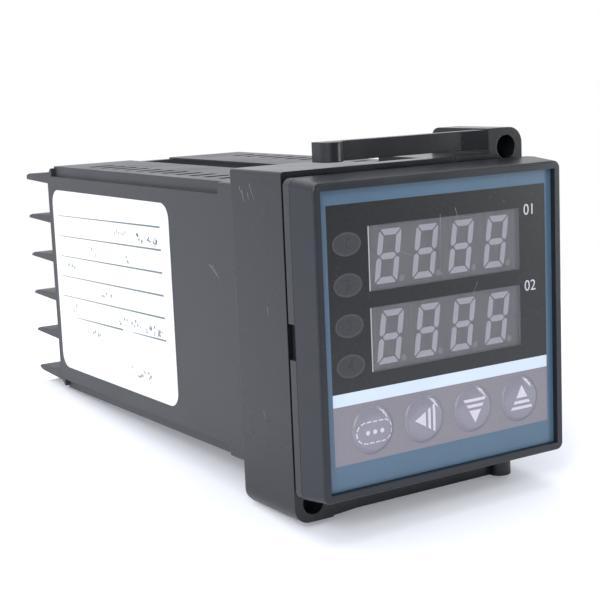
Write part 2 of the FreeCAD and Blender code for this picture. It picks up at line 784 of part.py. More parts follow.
def make_mounting_frame():
    """Slide-on frame: a square ring, two diagonal ears with jack-screw holes, two sprung arms, two pawls."""
    body = new_body("mounting_frame")
    front = "Sizes.frame_gap"

    def draw_ring(outline):
        outline.rectangle(f"-{FRAME_SIDE}", FRAME_SIDE, f"-{FRAME_TOP}", FRAME_TOP)

    add_pad(body, "ring", "front", draw_ring, front, FRAME_BACK)
    ring_edges = edges_where(
        body.Shape, lambda e: runs_in_depth(e) and e.CenterOfMass.x * e.CenterOfMass.z < 0
    )
    round_edges(body, "ring_edges", ring_edges, "Sizes.frame_edge_radius")

    def draw_ear(outline):
        outline.rectangle(EAR_INNER, FRAME_SIDE, FRAME_INNER, EAR_TOP)

    ear = add_pad(body, "ear", "front", draw_ear, front, FRAME_BACK)
    half_turn(body, "opposite_ear", [ear])

    def draw_arm(outline, sign, nose_inset):
        # The arm leaves its ear on a ramp and ends in a rounded nose that bears on the panel.
        back = "(Sizes.arm_front + Sizes.arm_thickness)"
        nose_outer = f"({FRAME_SIDE} - {nose_inset})"
        nose_inner = f"({nose_outer} - Sizes.nose_width)"
        outline.polygon([
            (f"{sign}({EAR_INNER} + Sizes.root_overlap)", back),
            (f"-({sign}{nose_outer})", back),
            (f"-({sign}{nose_outer})", "Sizes.nose_front"),
            (f"-({sign}{nose_inner})", "Sizes.nose_front"),
            (f"-({sign}{nose_inner})", "Sizes.arm_front"),
            (f"{sign}({EAR_INNER} - Sizes.arm_ramp)", "Sizes.arm_front"),
            (f"{sign}{EAR_INNER}", front),
            (f"{sign}({EAR_INNER} + Sizes.root_overlap)", front),
        ])

    near_face = f"({FRAME_TOP} + Sizes.arm_gap)"
    far_face = f"({near_face} + Sizes.arm_height)"

    def draw_upper_arm(outline):
        draw_arm(outline, "", "Sizes.upper_nose_inset")

    def draw_lower_arm(outline):
        draw_arm(outline, "-", "Sizes.lower_nose_inset")

    add_pad(body, "upper_arm", "top", draw_upper_arm, near_face, far_face)
    add_pad(body, "lower_arm", "top", draw_lower_arm, f"-{far_face}", f"-{near_face}")
    top = value(EAR_TOP)
    ear_side = value(FRAME_SIDE)
    ear_corners = edges_where(
        body.Shape,
        lambda e: runs_in_depth(e)
        and near(abs(e.CenterOfMass.z), top)
        and near(abs(e.CenterOfMass.x), ear_side),
    )
    round_edges(body, "ear_corners", ear_corners, "Sizes.ear_corner_radius")
    nose_front = value("Sizes.nose_front")
    nose_edges = edges_where(
        body.Shape,
        lambda e: e.BoundBox.XLength < 1e-4
        and near(e.BoundBox.YMin, nose_front)
        and near(e.BoundBox.YMax, nose_front),
    )
    round_edges(body, "nose_rounds", nose_edges, "Sizes.nose_radius")

    past_frame = f"({FRAME_BACK} + Sizes.overrun)"
    radius = "Sizes.ear_heel_radius"

    def draw_heels(outline):
        # All that lies outside a quarter round on each ear's rear outer edge.
        for level in ("", "-"):
            past_ear = f"{level}({EAR_TOP} + Sizes.overrun)"
            quarter = [
                (
                    f"{FRAME_BACK} - {radius} * (1 - cos({bend}deg))",
                    f"{level}({EAR_TOP} - {radius} * (1 - sin({bend}deg)))",
                )
                for bend in (0, 22.5, 45, 67.5, 90)
            ]
            start = (past_frame, f"{level}({EAR_TOP} - {radius})")
            end = (f"{FRAME_BACK} - {radius}", past_ear)
            outline.polygon([start, *quarter, end, (past_frame, past_ear)])

    cut_pocket(body, "ear_heels", "side", draw_heels, f"-{FRAME_SIDE}", FRAME_SIDE)
    cut_pocket(body, "case_opening", "front", lambda o: o.square(FRAME_INNER), front, FRAME_BACK)

    def draw_ear_holes(outline):
        for sign in ("", "-"):
            across = f"{sign}({FRAME_SIDE} - Sizes.ear_hole_inset)"
            outline.circle(across, f"{sign}({EAR_TOP} - Sizes.ear_hole_drop)", "Sizes.ear_hole_radius")

    cut_pocket(body, "ear_holes", "front", draw_ear_holes, front, FRAME_BACK)

    half_pawl = "(Sizes.pawl_width / 2)"

    def draw_pawl_slits(outline):
        for sign in ("", "-"):
            slit_end = f"{sign}({half_pawl} + Sizes.pawl_slit)"
            outline.rectangle(f"{sign}{half_pawl}", slit_end, "Sizes.pawl_start", past_frame)

    outside = f"({FRAME_TOP} + Sizes.overrun)"
    cut_pocket(body, "pawl_slits", "top", draw_pawl_slits, f"-{outside}", outside)

    def draw_pawl_relief(outline):
        # The tongue is thinner than the ring, so that it can bend, up to its toothed end.
        for level in ("", "-"):
            surface = f"{level}({FRAME_INNER} + Sizes.pawl_thickness)"
            outline.rectangle("Sizes.pawl_start", past_frame, surface, f"{level}{outside}")

    cut_pocket(body, "pawl_relief", "side", draw_pawl_relief, f"-{half_pawl}", half_pawl)

    def draw_pawl_teeth(outline):
        tip = f"({CREST} + Sizes.pawl_lift)"
        root = f"({FRAME_INNER} + Sizes.pawl_tooth_root)"
        for level in ("", "-"):
            outline.polygon([
                (FRAME_BACK, f"{level}{root}"),
                (FRAME_BACK, f"{level}{tip}"),
                (f"{FRAME_BACK} - Sizes.tooth_pitch", f"{level}{FRAME_INNER}"),
                (f"{FRAME_BACK} - Sizes.tooth_pitch", f"{level}{root}"),
            ])

    add_pad(body, "pawl_teeth", "side", draw_pawl_teeth, f"-{half_pawl}", half_pawl)
    return body


def key_across(index):
    return f"(Sizes.key_across + ({index} - {len(KEYS) - 1} / 2) * Sizes.key_pitch)"


def lamp_up(index):
    return f"(Sizes.lamp_top - {index} * Sizes.lamp_pitch)"


def draw_displays(outline, width, height):
    """The outlines of the upper and the lower display, or of the panes over them."""
    for up in ("Sizes.upper_display_up", "Sizes.lower_display_up"):
        outline.rectangle(
            f"Sizes.display_across - ({width}) / 2",
            f"Sizes.display_across + ({width}) / 2",
            f"{up} - ({height}) / 2",
            f"{up} + ({height}) / 2",
        )


def make_front_bezel():
    """Front moulding: a tapered rim round a recess for the film, a pierced plate, and two snap arms."""
    body = new_body("front_bezel")
    flange_half = "(Sizes.flange_side / 2)"
    rim = add_pad(body, "rim", "front", lambda o: o.square(flange_half), BEZEL_FRONT, BEZEL_BACK)
    draft = f"atan(({flange_half} - Sizes.bezel_front_side / 2) / Sizes.bezel_depth)"
    rim.setExpression("TaperAngle", f"-{draft}")
    doc.recompute()
    corner_edges = edges_where(body.Shape, lambda e: e.BoundBox.YLength > 1)
    round_edges(body, "rim_corners", corner_edges, "Sizes.front_corner_radius")
    front = value(BEZEL_FRONT)
    front_edges = edges_where(
        body.Shape, lambda e: near(e.BoundBox.YMin, front) and near(e.BoundBox.YMax, front)
    )
    round_edges(body, "rim_front", front_edges, "Sizes.bezel_edge_radius")
    window_half = "Sizes.window_side / 2"
    cut_pocket(body, "film_recess", "front", lambda o: o.square(window_half), BEZEL_FRONT, FILM_BACK)
    hollow_half = "Sizes.hollow_side / 2"
    cut_pocket(body, "hollow", "front", lambda o: o.square(hollow_half), PLATE_BACK, BEZEL_BACK)

    def draw_piercings(outline):
        play = "2 * Sizes.display_play"
        draw_displays(outline, f"Sizes.display_width + {play}", f"Sizes.display_height + {play}")
        for index in range(len(KEYS)):
            outline.square_at(key_across(index), "Sizes.key_up", "Sizes.key_radius + Sizes.key_slit")
        lamp_hole = "Sizes.lamp_side / 2 + Sizes.lamp_hole_gap"
        for index in range(LAMP_COUNT):
            outline.square_at("Sizes.lamp_across", lamp_up(index), lamp_hole)

    cut_pocket(body, "piercings", "front", draw_piercings, FILM_BACK, PLATE_BACK)

    def draw_arms(outline):
        outer = f"({CAVITY_HALF} - Sizes.snap_arm_gap)"
        half = "(Sizes.snap_arm_width / 2)"
        for level in ("", "-"):
            inner = f"{level}({outer} - Sizes.snap_arm_thickness)"
            outline.rectangle(f"-{half}", half, inner, f"{level}{outer}")

    arm_root = f"{PLATE_BACK} - Sizes.root_overlap"
    add_pad(body, "snap_arms", "front", draw_arms, arm_root, "Sizes.arm_reach")

    def draw_hooks(outline):
        # A ridge on each arm's inner face stands just behind the display board and holds it.
        inner = f"({CAVITY_HALF} - Sizes.snap_arm_gap - Sizes.snap_arm_thickness)"
        start = f"({DISPLAY_BOARD_BACK} + Sizes.snap_hook_gap)"
        flat_end = f"({start} + Sizes.snap_hook_flat)"
        for level in ("", "-"):
            root = f"{level}({inner} + Sizes.root_overlap)"
            crest = f"{level}({inner} - Sizes.snap_hook)"
            ramp_end = f"{flat_end} + Sizes.snap_hook_ramp"
            outline.polygon([(start, root), (start, crest), (flat_end, crest), (ramp_end, root)])

    half = "(Sizes.snap_arm_width / 2)"
    add_pad(body, "snap_hooks", "side", draw_hooks, f"-{half}", half)
    return body


def make_film():
    """Printed front film with two display windows and four key holes."""
    body = new_body("overlay_film")
    half = "(Sizes.window_side / 2 - Sizes.film_gap)"
    add_pad(body, "sheet", "front", lambda o: o.square(half), FILM_FRONT, FILM_BACK)

    def draw_holes(outline):
        draw_displays(outline, "Sizes.pane_width", "Sizes.pane_height")
        for index in range(len(KEYS)):
            outline.circle(key_across(index), "Sizes.key_up", "Sizes.key_radius + Sizes.key_slit")

    cut_pocket(body, "windows", "front", draw_holes, FILM_FRONT, FILM_BACK)
    return body


def make_panes():
    """Clear windows of the film, flush with it, in front of the two displays."""
    body = new_body("window_panes")
    body.AllowCompound = True

    def draw(outline):
        gap = "2 * Sizes.pane_gap"
        draw_displays(outline, f"Sizes.pane_width - {gap}", f"Sizes.pane_height - {gap}")

    add_pad(body, "panes", "front", draw, FILM_FRONT, FILM_BACK)
    return body


# Segments of one digit, as the grid points that each joins: across 0 or 1, up 0, 1 or 2.
SEGMENTS = {
    "top": ((0, 2), (1, 2)),
    "middle": ((0, 1), (1, 1)),
    "bottom": ((0, 0), (1, 0)),
    "upper_left": ((0, 1), (0, 2)),
    "lower_left": ((0, 0), (0, 1)),
    "upper_right": ((1, 1), (1, 2)),
    "lower_right": ((1, 0), (1, 1)),
}


DIGIT_ROW_HALF = "((Sizes.digit_count - 1) / 2 * Sizes.digit_pitch)"
FIRST_DIGIT = f"(Sizes.display_across + Sizes.digit_shift - {DIGIT_ROW_HALF})"


def segment_corners(centre_up, start, end):
    """Six corners of one pointed segment of the leftmost digit, leaning with the digit's slant."""
    lies_flat = start[1] == end[1]
    half = "Sizes.segment_width / 2"
    gap = "Sizes.segment_gap"
    corners = []
    for grid, along in ((start, 1), (end, -1)):
        across = f"({grid[0]} - 0.5) * Sizes.digit_width"
        up = f"({grid[1]} - 1) * Sizes.digit_height / 2"
        steps = ((f"({gap} + {half})", along), (gap, 0), (f"({gap} + {half})", -along))
        for reach, swing in steps:
            if lies_flat:
                corners.append((f"{across} + {along} * {reach}", f"{up} + {swing} * {half}"))
            else:
                corners.append((f"{across} - {swing} * {half}", f"{up} + {along} * {reach}"))
    return [
        (f"{FIRST_DIGIT} + {across} + ({up}) * Sizes.digit_slant", f"{centre_up} + {up}")
        for across, up in corners
    ]


def draw_digit(outline, centre_up):
    """The leftmost slanted seven-segment digit with its decimal point."""
    for start, end in SEGMENTS.values():
        outline.polygon(segment_corners(centre_up, start, end))
    outline.octagon(
        f"{FIRST_DIGIT} + Sizes.point_across - Sizes.digit_height / 2 * Sizes.digit_slant",
        f"{centre_up} - Sizes.digit_height / 2",
        "Sizes.point_radius",
    )


def make_display(name, centre_up):
    """One four-digit display: the dark reflector block, and the milky segments that fill its windows."""
    block = new_body(f"{name}_display")
    half_width = "Sizes.display_width / 2"
    half_height = "Sizes.display_height / 2"

    def draw_block(outline):
        outline.rectangle(
            f"Sizes.display_across - {half_width}",
            f"Sizes.display_across + {half_width}",
            f"{centre_up} - {half_height}",
            f"{centre_up} + {half_height}",
        )

    add_pad(block, "reflector", "front", draw_block, DISPLAY_FACE, DISPLAY_BOARD_FRONT)
    depth = f"({DISPLAY_FACE} + Sizes.segment_depth)"
    digit = cut_pocket(
        block, "digit_windows", "front", lambda o: draw_digit(o, centre_up), DISPLAY_FACE, depth
    )
    repeat_along(block, "digits", [digit], "X_Axis", "Sizes.digit_pitch", "Sizes.digit_count")
    segments = new_body(f"{name}_segments")
    segments.AllowCompound = True
    fill = add_pad(segments, "digit_fill", "front", lambda o: draw_digit(o, centre_up), DISPLAY_FACE, depth)
    repeat_along(segments, "digits", [fill], "X_Axis", "Sizes.digit_pitch", "Sizes.digit_count")
    return [block, segments]


def make_lamps():
    """Four square-bodied indicator lamps on the display board."""
    half = "Sizes.lamp_side / 2"
    lamps = []
    for index in range(LAMP_COUNT):
        up = lamp_up(index)
        lamps.append(
            square_block(
                f"lamp_{index + 1}", "Sizes.lamp_across", up, half, DISPLAY_FACE, DISPLAY_BOARD_FRONT
            )
        )
    return gather("indicator_lamps", lamps)


def make_key(index):
    """Embossed key disc of the front film and the switch plunger that it presses."""
    name = KEYS[index]
    across = key_across(index)
    up = "Sizes.key_up"
    disc = rod(f"{name}_disc", across, up, "Sizes.key_radius", FILM_FRONT, FILM_BACK)
    crown_front = f"({FILM_FRONT} - Sizes.key_crown)"
    ball_radius = "((Sizes.key_radius ^ 2 + Sizes.key_crown ^ 2) / (2 * Sizes.key_crown))"
    ball = doc.addObject("Part::Sphere", f"{name}_ball")
    ball.setExpression("Radius", ball_radius)
    ball.setExpression("Placement.Base.x", across)
    ball.setExpression("Placement.Base.y", f"{crown_front} + {ball_radius}")
    ball.setExpression("Placement.Base.z", up)
    limit_front = f"{crown_front} - Sizes.overrun"
    limit = rod(f"{name}_crown_limit", across, up, "Sizes.key_radius", limit_front, FILM_FRONT)
    crown = doc.addObject("Part::Common", f"{name}_crown")
    crown.Base = ball
    crown.Tool = limit
    key = join(f"{name}_key", [disc, crown])
    stem = rod(f"{name}_stem", across, up, "Sizes.plunger_radius", FILM_BACK, PLUNGER_FOOT_FRONT)
    foot_half = "(Sizes.plunger_radius + Sizes.plunger_foot)"
    foot_back = f"({PLUNGER_FOOT_FRONT} + Sizes.plunger_foot_height)"
    foot = square_block(f"{name}_foot", across, up, foot_half, PLUNGER_FOOT_FRONT, foot_back)
    plunger = join(f"{name}_plunger", [stem, foot])
    return [key, plunger]


def make_switches():
    """Four square key switches, each hollow below its cover for the plunger's foot."""
    up = "Sizes.key_up"
    half = "Sizes.switch_side / 2"
    mouth_radius = "(Sizes.plunger_radius + Sizes.plunger_gap)"
    well_half = "(Sizes.plunger_radius + Sizes.plunger_foot + Sizes.plunger_gap)"
    cover_back = f"({SWITCH_FRONT} + Sizes.switch_cover)"
    well_back = f"({cover_back} + Sizes.switch_well)"
    switches = []
    for index, name in enumerate(KEYS):
        across = key_across(index)
        case = square_block(f"{name}_switch_case", across, up, half, SWITCH_FRONT, DISPLAY_BOARD_FRONT)
        mouth_front = f"{SWITCH_FRONT} - Sizes.overrun"
        mouth = rod(f"{name}_switch_mouth", across, up, mouth_radius, mouth_front, well_back)
        well = square_block(f"{name}_switch_well", across, up, well_half, cover_back, well_back)
        hollow = join(f"{name}_switch_hollow", [mouth, well])
        switches.append(take(f"{name}_switch", case, hollow))
    return gather("key_switches", switches)


def make_boards():
    """Display board behind the front, and the two long boards that reach the terminals."""
    half = "Sizes.display_board_side / 2"
    tall = "Sizes.display_board_height / 2"
    display_board = box(
        "display_board", f"-{half}", half, DISPLAY_BOARD_FRONT, DISPLAY_BOARD_BACK, f"-{tall}", tall
    )
    edge = "Sizes.side_board_half"
    main_board = box(
        "main_board",
        f"-{SIDE_BOARD_OUTER}",
        "-Sizes.side_board_inner",
        SIDE_BOARD_FRONT,
        SIDE_BOARD_END,
        f"-{edge}",
        edge,
    )
    power_board = box(
        "power_board",
        "Sizes.side_board_inner",
        SIDE_BOARD_OUTER,
        SIDE_BOARD_FRONT,
        SIDE_BOARD_END,
        f"-{edge}",
        edge,
    )
    headers = []
    for side, sign in (("left", "-"), ("right", "")):
        near_side = f"{sign}(Sizes.side_board_inner)"
        far_side = f"{sign}(Sizes.side_board_inner - Sizes.header_width)"
        left, right = (far_side, near_side) if sign == "" else (near_side, far_side)
        headers.append(
            box(
                f"header_{side}",
                left,
                right,
                DISPLAY_BOARD_BACK,
                f"{DISPLAY_BOARD_BACK} + Sizes.header_depth",
                "-Sizes.header_length / 2",
                "Sizes.header_length / 2",
            )
        )
    return [display_board, main_board, power_board, gather("board_headers", headers)]


def make_transformer():
    """Laminated core with two windows, and the winding that fills them."""
    start = "Sizes.core_start"
    end = f"({start} + Sizes.core_length)"
    bottom = "Sizes.core_bottom"
    top = f"({bottom} + Sizes.core_height)"
    right = "(Sizes.side_board_inner - Sizes.core_standoff)"
    left = f"({right} - Sizes.core_stack)"
    limb = "Sizes.core_limb"
    middle = f"({bottom} + Sizes.core_height / 2)"
    blank = box("core_blank", left, right, start, end, bottom, top)
    lower_hole = box(
        "core_lower_window",
        f"{left} - Sizes.overrun",
        f"{right} + Sizes.overrun",
        f"{start} + {limb}",
        f"{end} - {limb}",
        f"{bottom} + {limb}",
        f"{middle} - {limb}",
    )
    upper_hole = box(
        "core_upper_window",
        f"{left} - Sizes.overrun",
        f"{right} + Sizes.overrun",
        f"{start} + {limb}",
        f"{end} - {limb}",
        f"{middle} + {limb}",
        f"{top} - {limb}",
    )
    core = take("transformer_core", blank, join("core_windows", [lower_hole, upper_hole]))
    play = "Sizes.winding_play"
    coil_start = f"({start} + {limb} + {play})"
    coil_end = f"({end} - {limb} - {play})"
    coil_bottom = f"({bottom} + {limb} + {play})"
    coil_top = f"({top} - {limb} - {play})"
    coil = box(
        "coil_blank",
        f"{left} - Sizes.winding_overhang",
        f"{right} + Sizes.winding_overhang",
        coil_start,
        coil_end,
        coil_bottom,
        coil_top,
    )
    bore = box(
        "coil_bore",
        f"{left} - {play}",
        f"{right} + {play}",
        f"{coil_start} - Sizes.overrun",
        f"{coil_end} + Sizes.overrun",
        f"{middle} - {limb} - {play}",
        f"{middle} + {limb} + {play}",
    )
    return [core, take("transformer_winding", coil, bore)]


def make_components():
    """Relay, capacitors and chips on the long boards, and the spacer between them."""
    face = "Sizes.side_board_inner"
    relay = box(
        "output_relay",
        f"{face} - Sizes.relay_width",
        face,
        "Sizes.relay_start",
        "Sizes.relay_start + Sizes.relay_length",
        "Sizes.relay_bottom",
        "Sizes.relay_bottom + Sizes.relay_height",
    )
    cans = [
        side_rod(
            f"capacitor_{index + 1}",
            f"{face} - Sizes.capacitor_length",
            face,
            f"Sizes.capacitor_start + Sizes.capacitor_radius + {index} * Sizes.capacitor_pitch",
            "Sizes.capacitor_up",
            "Sizes.capacitor_radius",
        )
        for index in range(2)
    ]
    outer = f"-{SIDE_BOARD_OUTER}"
    large_chip = box(
        "controller_chip",
        f"{outer} - Sizes.chip_depth",
        outer,
        "Sizes.chip_start",
        "Sizes.chip_start + Sizes.chip_length",
        "Sizes.chip_up",
        "Sizes.chip_up + Sizes.chip_height",
    )
    small_chip = box(
        "memory_chip",
        f"{outer} - Sizes.chip_depth",
        outer,
        "Sizes.chip_start",
        "Sizes.chip_start + Sizes.small_chip_length",
        "-Sizes.chip_up - Sizes.chip_height",
        "-Sizes.chip_up",
    )
    spacer_half = "(Sizes.spacer_height / 2)"
    spacer = box(
        "board_spacer",
        f"-{face}",
        face,
        "Sizes.spacer_start",
        "Sizes.spacer_start + Sizes.spacer_length",
        f"-{spacer_half}",
        spacer_half,
    )
    capacitors = gather("filter_capacitors", cans)
    chips = gather("logic_chips", [large_chip, small_chip])
    return [relay, capacitors, chips, spacer]


def make_all():
    nodes = [make_housing(), make_label(), make_terminal_block()]
    nodes += make_terminals()
    nodes.append(make_mounting_frame())
    nodes += [make_front_bezel(), make_film(), make_panes()]
    nodes += make_display("upper", "Sizes.upper_display_up")
    nodes += make_display("lower", "Sizes.lower_display_up")
    nodes += [make_lamps(), make_switches()]
    for index in range(len(KEYS)):
        nodes += make_key(index)
    nodes += make_boards()
    nodes += make_transformer()
    nodes += make_components()
    return nodes


nodes = make_all()
doc.recompute()

for item in doc.Objects:
    if "Invalid" in item.State or "Error" in item.State:
        raise RuntimeError(f"{item.Name} did not recompute: {item.State}")
for node in nodes:
    if node.Shape.isNull() or not node.Shape.isValid() or not node.Shape.Solids:
        raise RuntimeError(f"{node.Label} has no valid shape")

os.makedirs("parts", exist_ok=True)
for node in nodes:
    node.Shape.exportStep(f"parts/{node.Label}.step")
    print(f"{node.Label}: {len(node.Shape.Solids)} solid(s), {node.Shape.Volume:.1f} mm3")
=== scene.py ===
import math
import random

import bmesh
import bpy
from mathutils import Matrix, Vector


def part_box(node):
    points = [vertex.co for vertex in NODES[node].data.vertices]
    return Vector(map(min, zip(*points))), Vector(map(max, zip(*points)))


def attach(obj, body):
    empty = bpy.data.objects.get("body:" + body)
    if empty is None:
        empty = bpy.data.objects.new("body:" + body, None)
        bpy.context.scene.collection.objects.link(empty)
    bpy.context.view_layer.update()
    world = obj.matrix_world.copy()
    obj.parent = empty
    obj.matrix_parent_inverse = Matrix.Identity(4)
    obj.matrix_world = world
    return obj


# A 48 x 48 mm panel temperature controller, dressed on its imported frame.
# X runs across the front, Y into the panel and Z up.
# Lengths below are in metres unless they are named in mm.

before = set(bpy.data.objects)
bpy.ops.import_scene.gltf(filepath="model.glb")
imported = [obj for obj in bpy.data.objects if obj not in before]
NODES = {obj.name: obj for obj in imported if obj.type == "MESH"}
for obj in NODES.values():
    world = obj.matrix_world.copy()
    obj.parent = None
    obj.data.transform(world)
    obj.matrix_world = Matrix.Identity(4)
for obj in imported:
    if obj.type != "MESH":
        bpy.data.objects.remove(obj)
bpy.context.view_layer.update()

MM = 0.001


# ---------------------------------------------------------------- places, all read from the frame

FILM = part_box("overlay_film")
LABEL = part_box("rating_label")
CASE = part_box("housing")
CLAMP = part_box("mounting_frame")
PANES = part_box("window_panes")
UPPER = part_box("upper_display")
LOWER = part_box("lower_display")
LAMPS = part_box("indicator_lamps")
MAIN_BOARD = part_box("main_board")
POWER_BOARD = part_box("power_board")
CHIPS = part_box("logic_chips")
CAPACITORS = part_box("filter_capacitors")
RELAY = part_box("output_relay")
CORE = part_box("transformer_core")
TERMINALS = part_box("terminal_contacts")

KEYS = ("set", "shift", "down", "up")
FILM_FRONT = FILM[0].y
INK = 0.02 * MM  # thickness at which print is drawn
MERGE = 1e-7  # points closer than this are one


def middle(corners):
    return (corners[0] + corners[1]) / 2


# ---------------------------------------------------------------- small helpers

def rgb(code):
    """An sRGB hex colour as linear red, green, blue and alpha."""
    channels = [int(code[i:i + 2], 16) / 255 for i in (1, 3, 5)]
    linear = [c / 12.92 if c <= 0.04045 else ((c + 0.055) / 1.055) ** 2.4 for c in channels]
    return (*linear, 1.0)


def put(tree, kind, inputs=None, **settings):
    """Add one node, with its settings, input values and links."""
    node = tree.nodes.new(kind)
    for name, setting in settings.items():
        setattr(node, name, setting)
    for name, source in (inputs or {}).items():
        socket = node.inputs[name]
        if isinstance(source, bpy.types.NodeSocket):
            tree.links.new(source, socket)
        else:
            socket.default_value = source
    return node


def link_mesh(name, mesh):
    piece = bpy.data.objects.new(name, mesh)
    bpy.context.scene.collection.objects.link(piece)
    return piece


def finish_piece(piece, material, body):
    """Give a piece its only material, and the body and slot that it belongs to."""
    piece.data.materials.clear()
    piece.data.materials.append(material)
    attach(piece, body)
    return piece


def mesh_from(name, build):
    """A new object whose mesh the function build(bm) fills."""
    bm = bmesh.new()
    build(bm)
    mesh = bpy.data.meshes.new(name)
    bmesh.ops.recalc_face_normals(bm, faces=bm.faces)
    bm.to_mesh(mesh)
    bm.free()
    return link_mesh(name, mesh)


def circle_points(across, up, radius, count=48):
    turns = [2 * math.pi * i / count for i in range(count)]
    return [(across + radius * math.cos(t), up + radius * math.sin(t)) for t in turns]


def rectangle_points(left, right, bottom, top):
    return [(left, bottom), (right, bottom), (right, top), (left, top)]


def ellipse_points(across, up, half_width, half_height, count=56):
    turns = [2 * math.pi * i / count for i in range(count)]
    return [(across + half_width * math.cos(t), up + half_height * math.sin(t)) for t in turns]


def plain_mesh(drawn):
    """The final mesh of a drawn object, which is then removed."""
    depsgraph = bpy.context.evaluated_depsgraph_get()
    mesh = bpy.data.meshes.new_from_object(drawn.evaluated_get(depsgraph))
    bpy.data.objects.remove(drawn)
    return mesh


def grown_mesh(drawn, tree, values):
    """What a node tree makes on a drawn object, with its inputs set by their identifiers."""
    modifier = drawn.modifiers.new("grown", "NODES")
    modifier.node_group = tree
    for item in tree.interface.items_tree:
        if item.in_out == "INPUT" and item.name in values:
            modifier[item.identifier] = values[item.name]
    return plain_mesh(drawn)


def flat_plate(name, outlines, front, thickness):
    """Thin plate that faces -Y. An outline inside another is a hole in it."""
    curve = bpy.data.curves.new(name, "CURVE")
    curve.dimensions = "2D"
    curve.fill_mode = "BOTH"
    curve.extrude = thickness / 2
    for points in outlines:
        spline = curve.splines.new("POLY")
        spline.points.add(len(points) - 1)
        for point, (across, up) in zip(spline.points, points):
            point.co = (across, up, 0, 1)
        spline.use_cyclic_u = True
    drawn = bpy.data.objects.new(f"{name}_drawn", curve)
    bpy.context.scene.collection.objects.link(drawn)
    mesh = plain_mesh(drawn)
    # x, y of the drawing become X, Z; its height runs towards the reader
    mesh.transform(Matrix(((1, 0, 0, 0), (0, 0, -1, front + thickness / 2),
                           (0, 1, 0, 0), (0, 0, 0, 1))))
    bm = bmesh.new()
    bm.from_mesh(mesh)
    bmesh.ops.remove_doubles(bm, verts=bm.verts, dist=MERGE)
    bmesh.ops.recalc_face_normals(bm, faces=bm.faces)
    bm.to_mesh(mesh)
    bm.free()
    return link_mesh(name, mesh)


NUMERAL_SHARE = 0.7  # a numeral's height as a share of the font's size


def text_outlines(text, height, across, up):
    """Flat mesh of plain numerals, centred at a place on the front."""
    font = bpy.data.curves.new("numerals", "FONT")
    font.body = text
    font.align_x = "CENTER"
    font.align_y = "CENTER"
    font.size = height / NUMERAL_SHARE
    font.extrude = INK / 2
    drawn = bpy.data.objects.new("numerals", font)
    bpy.context.scene.collection.objects.link(drawn)
    mesh = plain_mesh(drawn)
    mesh.transform(Matrix(((1, 0, 0, across), (0, 0, -1, 0), (0, 1, 0, up), (0, 0, 0, 1))))
    return mesh


def join_meshes(name, meshes):
    def build(bm):
        for mesh in meshes:
            bm.from_mesh(mesh)
        bmesh.ops.remove_doubles(bm, verts=bm.verts, dist=MERGE)
    return mesh_from(name, build)


# ---------------------------------------------------------------- materials

def new_material(name):
    material = bpy.data.materials.new(name)
    material.use_nodes = True
    tree = material.node_tree
    shader = tree.nodes["Principled BSDF"]
    place = put(tree, "ShaderNodeTexCoord").outputs["Object"]
    return material, tree, shader, place


def per_mm(size):
    """A texture's scale for a feature of that size in millimetres."""
    return 1 / (size * MM)


def speckle(tree, place, size, low, high, detail=2.0):
    """Noise with features of a size in mm, stretched between two levels to run from 0 to 1."""
    noise = put(tree, "ShaderNodeTexNoise",
                {"Vector": place, "Scale": per_mm(size), "Detail": detail})
    levels = put(tree, "ShaderNodeMapRange",
                 {"Value": noise.outputs["Fac"], "From Min": low, "From Max": high})
    return levels.outputs["Result"]


# the colour sockets and result of a Mix node, which share their names with its other sockets
MIX_A, MIX_B, MIX_RESULT = 6, 7, 2


def relief(tree, shader, place, size, strength, edge):
    """Fine relief of a size in mm, on edges that catch the light as if rounded by edge mm."""
    noise = put(tree, "ShaderNodeTexNoise",
                {"Vector": place, "Scale": per_mm(size), "Detail": 3.0})
    rounded = put(tree, "ShaderNodeBevel", {"Radius": edge * MM}, samples=4)
    bump = put(tree, "ShaderNodeBump",
               {"Height": noise.outputs["Fac"], "Strength": strength, "Distance": size * MM,
                "Normal": rounded.outputs["Normal"]})
    tree.links.new(bump.outputs["Normal"], shader.inputs["Normal"])


def moulded_plastic(name, dark, pale, roughness, grain_strength=0.12, edge=0.12):
    """Injection-moulded plastic: even colour with slow flow mottling and a little dust.

    The fine relief is that of a spark-eroded mould, drawn at 0.35 mm so that it shows."""
    material, tree, shader, place = new_material(name)
    flow = speckle(tree, place, 14, 0.35, 0.65, 4.0)
    dust = speckle(tree, place, 0.5, 0.66, 0.78, 1.0)
    plastic = put(tree, "ShaderNodeMix", {"Factor": flow, MIX_A: rgb(dark), MIX_B: rgb(pale)},
                  data_type="RGBA").outputs[MIX_RESULT]
    faint = put(tree, "ShaderNodeMath", {0: dust, 1: 0.03}, operation="MULTIPLY").outputs[0]
    dusted = put(tree, "ShaderNodeMix", {"Factor": faint, MIX_A: plastic, MIX_B: rgb("#b9bbbf")},
                 data_type="RGBA").outputs[MIX_RESULT]
    tree.links.new(dusted, shader.inputs["Base Color"])
    gloss = put(tree, "ShaderNodeMapRange",
                {"Value": flow, "To Min": roughness - 0.04, "To Max": roughness + 0.05})
    tree.links.new(gloss.outputs["Result"], shader.inputs["Roughness"])
    shader.inputs["IOR"].default_value = 1.53
    relief(tree, shader, place, 0.35, grain_strength, edge)
    return material


